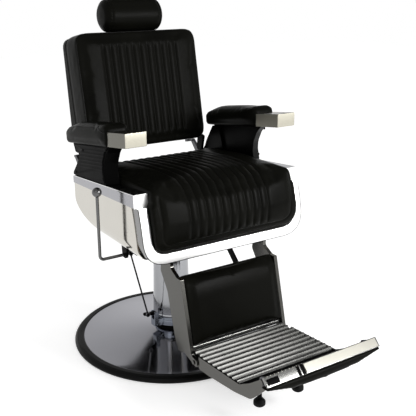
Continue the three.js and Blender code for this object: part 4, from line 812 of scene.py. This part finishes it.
# %% Ribbed tread
RIB_Y, RIB_PITCH, RIB_COUNT, RIB_WIDTH, RIB_RISE = -413.0, 24.0, 10, 19.0, 10.5
VALLEY = 161.0
TREAD_FALL = math.tan(math.radians(4.0))
LAST_RIB = RIB_Y - (RIB_COUNT - 1) * RIB_PITCH
NARROW_HALF, WIDE_HALF, LEG_END = 164.0, 168.0, -449.0


def tread_line(y):
    """Height of the valleys: 161 mm at the first rib, rising forwards at 4 degrees."""
    return VALLEY + (RIB_Y - y) * TREAD_FALL


def rib_height(y):
    """Ten bumps of 10.5 mm, each cos^2 over a width of 19 mm, flattened by the power 0.7."""
    number = np.clip(np.round((RIB_Y - y) / RIB_PITCH), 0, RIB_COUNT - 1)
    offset = (y - (RIB_Y - number * RIB_PITCH)) / RIB_WIDTH
    bump = np.cos(np.pi * np.clip(offset, -0.5, 0.5)) ** 2
    return RIB_RISE * np.where(np.abs(offset) < 0.5, bump, 0) ** 0.7


flat_y = np.linspace(RIB_Y + 8.5, LAST_RIB - 12.5, 620)
curl_start = np.array([flat_y[-1], tread_line(flat_y[-1])])
curl_knee = np.array([LAST_RIB - 52.0, tread_line(LAST_RIB) + 10.0])
curl_end = np.array([-738.0, 245.0])
t = np.linspace(0, 1, 48)[1:, None]
curl = (1 - t) ** 2 * curl_start + 2 * t * (1 - t) * curl_knee + t**2 * curl_end
flat = np.stack([flat_y, tread_line(flat_y)], axis=1)
ribbed = np.stack([flat_y, tread_line(flat_y) + rib_height(flat_y)], axis=1)
upper = np.concatenate([ribbed, curl])
lower = np.concatenate([flat, curl]) + (1.4, -4.0)
half = np.where(upper[:, 0] > LEG_END, NARROW_HALF, WIDE_HALF)
corners = [(-half, upper), (half, upper), (half, lower), (-half, lower)]
tread = loft("ribbed_tread", np.stack([np.column_stack([x, line]) for x, line in corners], axis=1))
ease(tread, 0.6, 2, 60)
# Painted shade: the valleys between the ribs take a near-black second colour, which gives way to
# the metal's own colour as the height over the slope rises.
tree = FINISHES["tread_metal"][0].node_tree
valley = (VALLEY + RIB_Y * TREAD_FALL) * MM
painted_shade_by_height = ranged(slope_level(tree, TREAD_FALL), valley + 0.001, valley + 0.0105, 0.0, 1.0)
fill_in(tree.nodes["Mix"], {"A": (0.008, 0.008, 0.0076, 1.0), "Factor": painted_shade_by_height})
dress(tread, "tread_metal", "footplate", "tread_plate")
print("tread rings:", len(upper))

# %% Rubber feet
foot_section = outline(
    [(0, 60), (13.5, 60, 2), (17.5, 64, 2), (17.5, 74, 4), (12.5, 80, 3), (10, 82, 1), (0, 82)],
    6,
)
for word, side in SIDES.items():
    foot = lathe("bumper_rubber_" + word, foot_section, 48, (side * 70.0, -605.0))
    dress(foot, "foot_rubber", "footplate", "bumper_foot_" + word)
print("rubber feet made")

# %% [markdown]
# ## Strips and studs on the kick bar
#
# The bright bar of the kick plate is crossed by dark strips and carries a row of small studs,
# which stand in for a row of glints: painted highlights.
# The bar is tilted by 45 degrees, so a strip is drawn in the bar's own two directions and
# carried across as a thin plate. The studs are small spheres, half sunk, in one mesh.

# %% Dark strips and bright studs
def on_bar(f, d):
    """A place (y, z) on the tilted bar: f down its face from the top edge, d into it."""
    return (-775.0 + (d - f) * math.sqrt(0.5), 274.0 - (d + f) * math.sqrt(0.5))


strips = [(-91, -83, 0.6, 27.4), (-78, -69, 0.6, 27.4), (-188, -152, 7, 24)]
for number, (x0, x1, top, foot) in enumerate(strips):
    strip = [(*on_bar(f, d), 1.0) for f, d in ((top, -1.6), (foot, -1.6), (foot, 0.2), (top, 0.2))]
    made = ease(sideways(f"bar_strip_{number}", outline(strip, 4), x0, x1), 0.4)
    dress(made, "black_paint", "kickplate")
# Painted highlights: small metal studs stand in for a row of glints along the bar.
studs = bmesh.new()
for x in np.linspace(-183.0, -89.0, 9):
    spot = Matrix.Translation(Vector((x, -777.0, 274.4)) * MM)
    bmesh.ops.create_icosphere(studs, subdivisions=2, radius=1.7 * MM, matrix=spot)
bar_painted_glint_studs = smooth(shown("bar_painted_glint_studs", studs, bpy.data.meshes.new("bar_painted_glint_studs")), 80)
dress(bar_painted_glint_studs, "plate_metal", "kickplate")
print("strips:", len(strips), "stud faces:", len(bar_painted_glint_studs.data.polygons))

# %% [markdown]
# ## Pump lever
#
# The lever is one bent rod: a shaft under the shell, a tight bend, an upright and a ball knob. A
# round tube follows that path. The crank that moves the pull rod is a flat plate with a peg.

# %% Rod, crank, peg and knob
LEVER_X, LEVER_Y, LEVER_Z, BEND = -330.0, -150.0, 404.0, 13.0
bend = np.linspace(0, np.pi / 2, 14)
elbow_x, elbow_z = LEVER_X + BEND - BEND * np.sin(bend), LEVER_Z + BEND - BEND * np.cos(bend)
elbow = np.column_stack([elbow_x, np.full(14, LEVER_Y), elbow_z])
shaft = np.linspace((-196.0, LEVER_Y, LEVER_Z), elbow[0], 12, endpoint=False)
upright = np.linspace(elbow[-1], (LEVER_X, LEVER_Y, 600.6), 16)[1:]
path = np.concatenate([shaft, elbow, upright])
dress(tube("lever_rod", path, 4.8), "rod_chrome", "pump_lever", "pump_lever")
crank_shape = outline([(-159, 396, 6), (-159, 412, 6), (-121, 410, 5), (-121, 398, 5)], 8)
crank = sideways("lever_crank", crank_shape, -231, -225)
dress(ease(crank, 0.8), "black_paint", "pump_lever")
peg = tube("crank_peg", np.linspace((-228, -128, 404), (-216, -128, 404), 4), 2.5, 16)
dress(peg, "rod_chrome", "pump_lever")
angle = np.linspace(-np.pi / 2, np.pi / 2, 30)
knob_profile = np.stack([14.5 * np.cos(angle), 615.0 + 14.5 * np.sin(angle)], axis=1)
knob = lathe("ball_knob", knob_profile, 48, (LEVER_X, LEVER_Y))
dress(knob, "rod_chrome", "pump_lever", "lever_knob")
eased("link_rod", "rod_chrome", 0.4)
print("lever's path:", round(np.linalg.norm(np.diff(path, axis=0), axis=1).sum()), "mm")

# %% [markdown]
# ## Soft goods: how a cushion is stuffed
#
# A cushion is a leather cover pulled tight over foam. Its faces crown, its sides pull in between
# the corners, and it is flat only where something holds it. Drawing such a form by hand is
# slow, so cloth is simulated: the solid's copy is remeshed into even small squares, drawn in a
# little, and blown up with cloth pressure without gravity for twenty frames. A cap on how far each
# point may move keeps it in the room that the frame gives it. Channels and seams are pressed in
# afterwards, because the remesh would erase them.

# %% The stuffing helper
def array_of(rows, label):
    """A property of three numbers of each row of a mesh, as an array."""
    flat = np.empty(len(rows) * 3, np.float32)
    rows.foreach_get(label, flat)
    return flat.reshape(-1, 3).astype(float)


def points_of(made):
    """A piece's points, in millimetres."""
    return array_of(made.data.vertices, "co") / MM


def normals_of(made):
    """The outward direction at each point."""
    return array_of(made.data.vertex_normals, "vector")


def set_points(made, points):
    """Writes an array in millimetres back to a piece's points."""
    made.data.vertices.foreach_set("co", (points * MM).astype(np.float32).ravel())
    made.data.update()


def sunk(made, depth):
    """Moves each point inwards by its depth."""
    set_points(made, points_of(made) - np.reshape(depth, (-1, 1)) * normals_of(made))


def applied(made):
    """Replaces an object's mesh by what its modifiers show, and removes them."""
    seen_now = made.evaluated_get(bpy.context.evaluated_depsgraph_get())
    mesh = bpy.data.meshes.new_from_object(seen_now)
    made.modifiers.clear()
    made.data = mesh
    return made


def tilted(made, degrees):
    """Turns a mesh about the x axis: y cos - z sin, and y sin + z cos."""
    points = points_of(made)
    across, up = math.cos(math.radians(degrees)), math.sin(math.radians(degrees))
    y, z = points[:, 1].copy(), points[:, 2].copy()
    points[:, 1], points[:, 2] = y * across - z * up, y * up + z * across
    set_points(made, points)


def softened(name, node, voxel, relaxing, inset, tilt):
    """A frame solid remeshed into small squares that lie along its slope, so that no stairs
    show, its corners relaxed, and drawn in by the inset."""
    made = merged(node, name)
    tilted(made, tilt)
    remesh = made.modifiers.new("even_squares", "REMESH")
    remesh.mode = "VOXEL"
    remesh.voxel_size = voxel * MM
    applied(made)
    relax = made.modifiers.new("soft_corners", "SMOOTH")
    relax.factor = 0.5
    relax.iterations = relaxing
    applied(made)
    tilted(made, -tilt)
    sunk(made, inset)
    return made


CLOTH = {
    "quality": 4,
    "mass": 0.3,
    "tension_stiffness": 12,
    "compression_stiffness": 12,
    "shear_stiffness": 6,
    "bending_stiffness": 0.6,
    "use_pressure": True,
    "uniform_pressure_force": 4.0,
}
CLOTH_FRAMES = 20


def stuffed(name, node, voxel, relaxing, inset, cap, freedom=None, tilt=0.0):
    """A softened solid swollen by cloth pressure, each point's move limited to
    cap * tanh(move / cap) times its freedom, and subdivided once."""
    made = softened(name, node, voxel, relaxing, inset, tilt)
    rest = points_of(made)
    cloth = made.modifiers.new("cover", "CLOTH")
    for label, value in CLOTH.items():
        setattr(cloth.settings, label, value)
    cloth.settings.effector_weights.gravity = 0.0
    cloth.collision_settings.use_collision = False
    for number in range(1, CLOTH_FRAMES + 1):
        bpy.context.scene.frame_set(number)
    applied(made)
    bpy.context.scene.frame_set(1)
    move = points_of(made) - rest
    length = np.linalg.norm(move, axis=1)[:, None] + 1e-9
    limited = move / length * cap * np.tanh(length / cap)
    free = 1.0 if freedom is None else freedom(rest)[:, None]
    set_points(made, rest + limited * free)
    print(name, "moved up to", round(float(length.max()), 1), "mm, kept to", cap)
    divide = made.modifiers.new("finer", "SUBSURF")
    divide.levels = divide.render_levels = 1
    return smooth(applied(made), 180)


def step(value, low, high):
    """Smooth step from 0 at low to 1 at high: 3t^2 - 2t^3."""
    t = np.clip((value - low) / (high - low), 0, 1)
    return t * t * (3 - 2 * t)


def channels(across, pitch, count, depth):
    """Depth of sewn channels at a place across the face: depth * (1 - |sin(pi x / pitch)|^0.55)
    within the sewn field of that many channels, so each channel is a sharp valley between puffs."""
    field = np.abs(across) < pitch * count / 2
    return np.where(field, depth * (1 - np.abs(np.sin(np.pi * across / pitch)) ** 0.55), 0.0)


def laid_cord(name, cushion, path, radius, loop=True):
    """A piping cord laid 0.2 mm over a cushion: each path point goes to the nearest cushion point,
    the line is smoothed by averaging with its neighbours, and a tube follows it."""
    surface = points_of(cushion)
    near = np.argmin(((path[:, None, :] - surface[None, :, :]) ** 2).sum(axis=-1), axis=1)
    line = surface[near] + 0.2 * normals_of(cushion)[near]
    for _ in range(24):
        middle = (np.roll(line, 1, 0) + 2 * line + np.roll(line, -1, 0)) / 4
        if not loop:
            middle[0], middle[-1] = line[0], line[-1]
        line = middle
    return tube(name, line, radius, 10, loop)


print("stuffing helper ready; simulation is", "on")

# %% [markdown]
# ## Seat cushion
#
# The seat is a thick block whose front rolls down inside the trim. Eleven channels are sewn
# over its front and across its top, and plain leather is left on both sides. The foam is held by
# the rails and the trim, so its freedom is small near them and whole on the top and the front.
# A seam runs beside the trim: a groove, deep where the distance to a rounded U line is 0.

# %% Stuffing the seat
def seat_freedom(points):
    """Free on the top and the front face, held near the rails, the trim and the board."""
    inside = 1 - step(np.abs(points[:, 0]), 205, 243)
    above = step(points[:, 2], 600, 635)
    front = step(-points[:, 1], 318, 335) * step(points[:, 2], 468, 500)
    return np.clip(0.08 + inside * np.maximum(above, front), 0, 1)


seat = stuffed("seat_leather", "seat_cushion", 5.5, 9, 0.6, 9.0, seat_freedom)
points, outward = points_of(seat), normals_of(seat)
facing = np.maximum(step(outward[:, 2], 0.25, 0.6), step(-outward[:, 1], 0.25, 0.6))
sewn = step(points[:, 2], 486, 512) * step(80 - points[:, 1], -18, 10) * facing
depth = channels(points[:, 0], 27.4, 11, 5.4) * sewn
from_side = np.stack([np.abs(points[:, 0]) - 194.0, 521.0 - points[:, 2]], axis=1)
outside = np.linalg.norm(np.maximum(from_side, 0), axis=1)
to_line = outside + np.minimum(from_side.max(axis=1), 0) - 34.0
groove = 3.2 * np.exp(-((to_line / 2.6) ** 2))
groove *= step(-outward[:, 1], 0.5, 0.8) * step(640 - points[:, 2], 0, 30)
sunk(seat, depth + groove)
dress(seat, "leather", "seat", "seat_cushion")
print("seat points:", len(points))

# %% [markdown]
# ## Back cushion
#
# The back leans 11.5 degrees, so its own frame is used: u runs up it and w runs through it.
# Eleven channels are sewn down the middle of its front, fading out before the foot and the top.
# A piping cord closes the front edge, where the face meets the side band.

# %% Stuffing the back
LEAN = math.radians(11.5)
LEAN_COS, LEAN_SIN = math.cos(LEAN), math.sin(LEAN)
HINGE_Y, HINGE_Z = 122.0, 665.0


def back_point(x, u, w):
    """Place of a point of the back: y = 122 + w cos + u sin, z = 665 - w sin + u cos."""
    x, u, w = np.broadcast_arrays(np.asarray(x, float), u, w)
    y = HINGE_Y + w * LEAN_COS + u * LEAN_SIN
    z = HINGE_Z - w * LEAN_SIN + u * LEAN_COS
    return np.stack([x, y, z], axis=-1)


def back_place(points):
    """The same places as (u, w) in the back's own frame."""
    dy, dz = points[:, 1] - HINGE_Y, points[:, 2] - HINGE_Z
    return dy * LEAN_SIN + dz * LEAN_COS, dy * LEAN_COS - dz * LEAN_SIN


def back_freedom(points):
    """Free on the front, held at the board behind it and along its edges."""
    u, w = back_place(points)
    edge = np.maximum(step(np.abs(points[:, 0]), 190, 222), step(np.abs(u - 190), 155, 188))
    return (1 - 0.92 * step(w, 25, 60)) * (1 - 0.8 * edge)


back = stuffed("back_leather", "back_cushion", 5.0, 9, -1.8, 8.0, back_freedom, 11.5)
points, outward = points_of(back), normals_of(back)
u, w = back_place(points)
front_facing = step(-(outward[:, 1] * LEAN_COS - outward[:, 2] * LEAN_SIN), 0.4, 0.8)
sewn = front_facing * step(u, 22, 58) * step(360 - u, 8, 40)
depth = channels(points[:, 0], 27.0, 11, 5.6) * sewn
sunk(back, depth)
dress(back, "leather", "back", "back_cushion")
print("back points:", len(points))

# %% The back's piping
around = outline([(-223, 0, 36), (223, 0, 36), (223, 381, 36), (-223, 381, 36)], 20)
around = np.vstack([around, around[:1]])
gone = np.concatenate([[0], np.cumsum(np.linalg.norm(np.diff(around, axis=0), axis=1))])
even = np.linspace(0, 1, 420, endpoint=False)
x, u = (np.interp(even, gone / gone[-1], axis) for axis in around.T)
back_piping = laid_cord("back_piping", back, back_point(x, u, 3.0), 1.8)
dress(back_piping, "piping_leather", "back")
print("piping outline:", round(gone[-1]), "mm")

# %% [markdown]
# ## Rear of the back, and the plates behind the arms
#
# The rear cover is a leather-covered shell, so it is an eased copy in leather, and a welt runs
# round it where it meets the cushion's side band: rounded outlines that swell and shrink along w,
# lofted. Two black plates on each side close the corner between arm and back.

# %% Rear cover, welt, plates and headrest steel
eased("back_cover", "leather", 5.0, 4, slot="black_plastic")
rim = outline([(-221, 0, 38), (221, 0, 38), (221, 380, 38), (-221, 380, 38)], 16)
swell = [(0.96, 58), (0.985, 62), (0.997, 68), (1.0, 78), (1.0, 98), (0.995, 106), (0.97, 111)]
welt = [back_point(rim[:, 0] * k, 190 + (rim[:, 1] - 190) * k, w) for k, w in swell]
dress(loft("back_welt", np.stack(welt)), "leather", "back")
ear_shape = outline(
    [(36, 601), (38, 650), (60, 710), (100, 707), (138, 649, 6)]
    + [(149, 626, 6), (172, 599, 8), (166, 566, 8), (122, 566)],
    6,
)
corner_shape = outline([(140, 664, 6), (176, 672, 6), (184, 608, 10), (154, 606, 8)], 6)
for word, side in SIDES.items():
    ear = ease(sideways("arm_ear_" + word, ear_shape, side * 238, side * 244), 0.8)
    dress(ear, "black_paint", "seat")
    corner = sideways("back_corner_plate_" + word, corner_shape, side * 224, side * 234)
    dress(ease(corner, 1.5), "black_paint", "back")
eased("back_hinge_frame", "dark_steel", 1.0)
eased("headrest_guide", "dark_steel", 0.8)
eased("headrest_frame", "rail_chrome", 1.0, slot="ram_chrome")
print("back's hard pieces eased")

# %% [markdown]
# ## Headrest
#
# The bolster is a round cushion with a stitched cap at each end. It is stuffed like the
# others, and the two cap seams are pressed in as narrow rings where the cover's tube ends, with
# fine puckers beside them.

# %% Stuffing the headrest
def head_freedom(points):
    """Held on the flat back, where the plate is."""
    return 1 - 0.9 * step(back_place(points)[1], 60, 78)


head = stuffed("headrest_leather", "headrest_bolster", 4.0, 10, 0.4, 5.0, head_freedom, 11.5)
points = points_of(head)
from_seam = np.abs(points[:, 0]) - 88.0
ring = np.exp(-((from_seam / 2.2) ** 2))
around = np.arctan2(*[place - place.mean() for place in back_place(points)])
puckers = 0.35 * np.sin(30 * around) * np.exp(-((from_seam / 6.0) ** 2))
sunk(head, 1.7 * ring + puckers)
dress(head, "leather", "headrest", "headrest_bolster")
print("headrest points:", len(points))

# %% [markdown]
# ## Arm pads
#
# Each arm pad is a padded rest that swells behind the bright block. A cord runs along the
# top edge on its outer side, where the top panel is sewn to the side band. After the stuffing
# the pad's nose is raised by a square root over 26 mm, which rounds it, and its rear end falls.

# %% Stuffing the arm pads
PAD_LEVEL_AT = -278.0


def pad_freedom(points):
    """Free above, held at the base and at the block in front."""
    above = step(points[:, 2] + (points[:, 1] - PAD_LEVEL_AT) * ARM_FALL, 768, 790)
    return np.clip(0.1 + above * step(points[:, 1], -164, -140), 0, 1)


for word, side in SIDES.items():
    name = "arm_pad_" + word
    pad = stuffed("arm_leather_" + word, name, 4.0, 26, -2.4, 5.0, pad_freedom, 7.8)
    points = points_of(pad)
    y = points[:, 1]
    level = points[:, 2] + (y - PAD_LEVEL_AT) * ARM_FALL
    rounding = np.sqrt(np.clip((y + 170) / 26, 0, 1)) - step(y, -165, -95)
    rear = 13.0 * step(y, 50, 138) * step(level, 785, 815)
    points[:, 2] += 15.0 * rounding * step(level, 797, 808) - rear
    set_points(pad, points)
    dress(pad, "leather", "seat", name)
    y = -160.0 + 288.0 * np.linspace(0, 1, 160)
    top = 764.0 - (y - PAD_LEVEL_AT) * ARM_FALL + 43.0 + 15.0 * step(y, -165, -95)
    path = np.column_stack([np.full(160, side * 297.0), y, top - 4.0])
    cord = laid_cord("arm_piping_" + word, pad, path, 1.6, loop=False)
    dress(cord, "piping_leather", "seat")
print("arm pads stuffed")

# %% [markdown]
# ## Calf pad and kick pad
#
# Two small upholstered boards: the calf pad fills the space between the legs, and the kick pad
# is a D under the bar. They are thin, so they swell only a few millimetres on their open faces.
# The calf pad's top edge rolls back by 11 mm over 58 mm, where the cover is pulled over the board.

# %% Stuffing the two boards
CALF_TOP, CALF_Y, CALF_RUN, CALF_LEAN = 377.0, -359.0, 201.0, 51.0


def calf_depth(points):
    """How far behind the pad's leaning front face a point lies."""
    return points[:, 1] - CALF_Y + CALF_LEAN * (CALF_TOP - points[:, 2]) / CALF_RUN


def calf_freedom(points):
    """Free in the middle of the front face, held at the legs and behind."""
    middle = 1 - step(np.abs(points[:, 0]), 130, 160)
    return np.clip((1 - step(calf_depth(points), 8, 20)) * middle + 0.05, 0, 1)


calf = stuffed("calf_leather", "calf_pad", 4.5, 6, 0.4, 6.0, calf_freedom)
points = points_of(calf)
roll = (1 - np.clip((CALF_TOP - points[:, 2]) / 58, 0, 1)) ** 2
points[:, 1] += 11.0 * (1 - step(calf_depth(points), 4, 18)) * roll
set_points(calf, points)
dress(calf, "leather", "legrest", "calf_pad")
kick = stuffed("kick_leather", "kick_pad", 3.5, 14, -0.6, 3.0)
dress(kick, "leather", "kickplate", "kick_pad")
print("calf and kick pads stuffed")
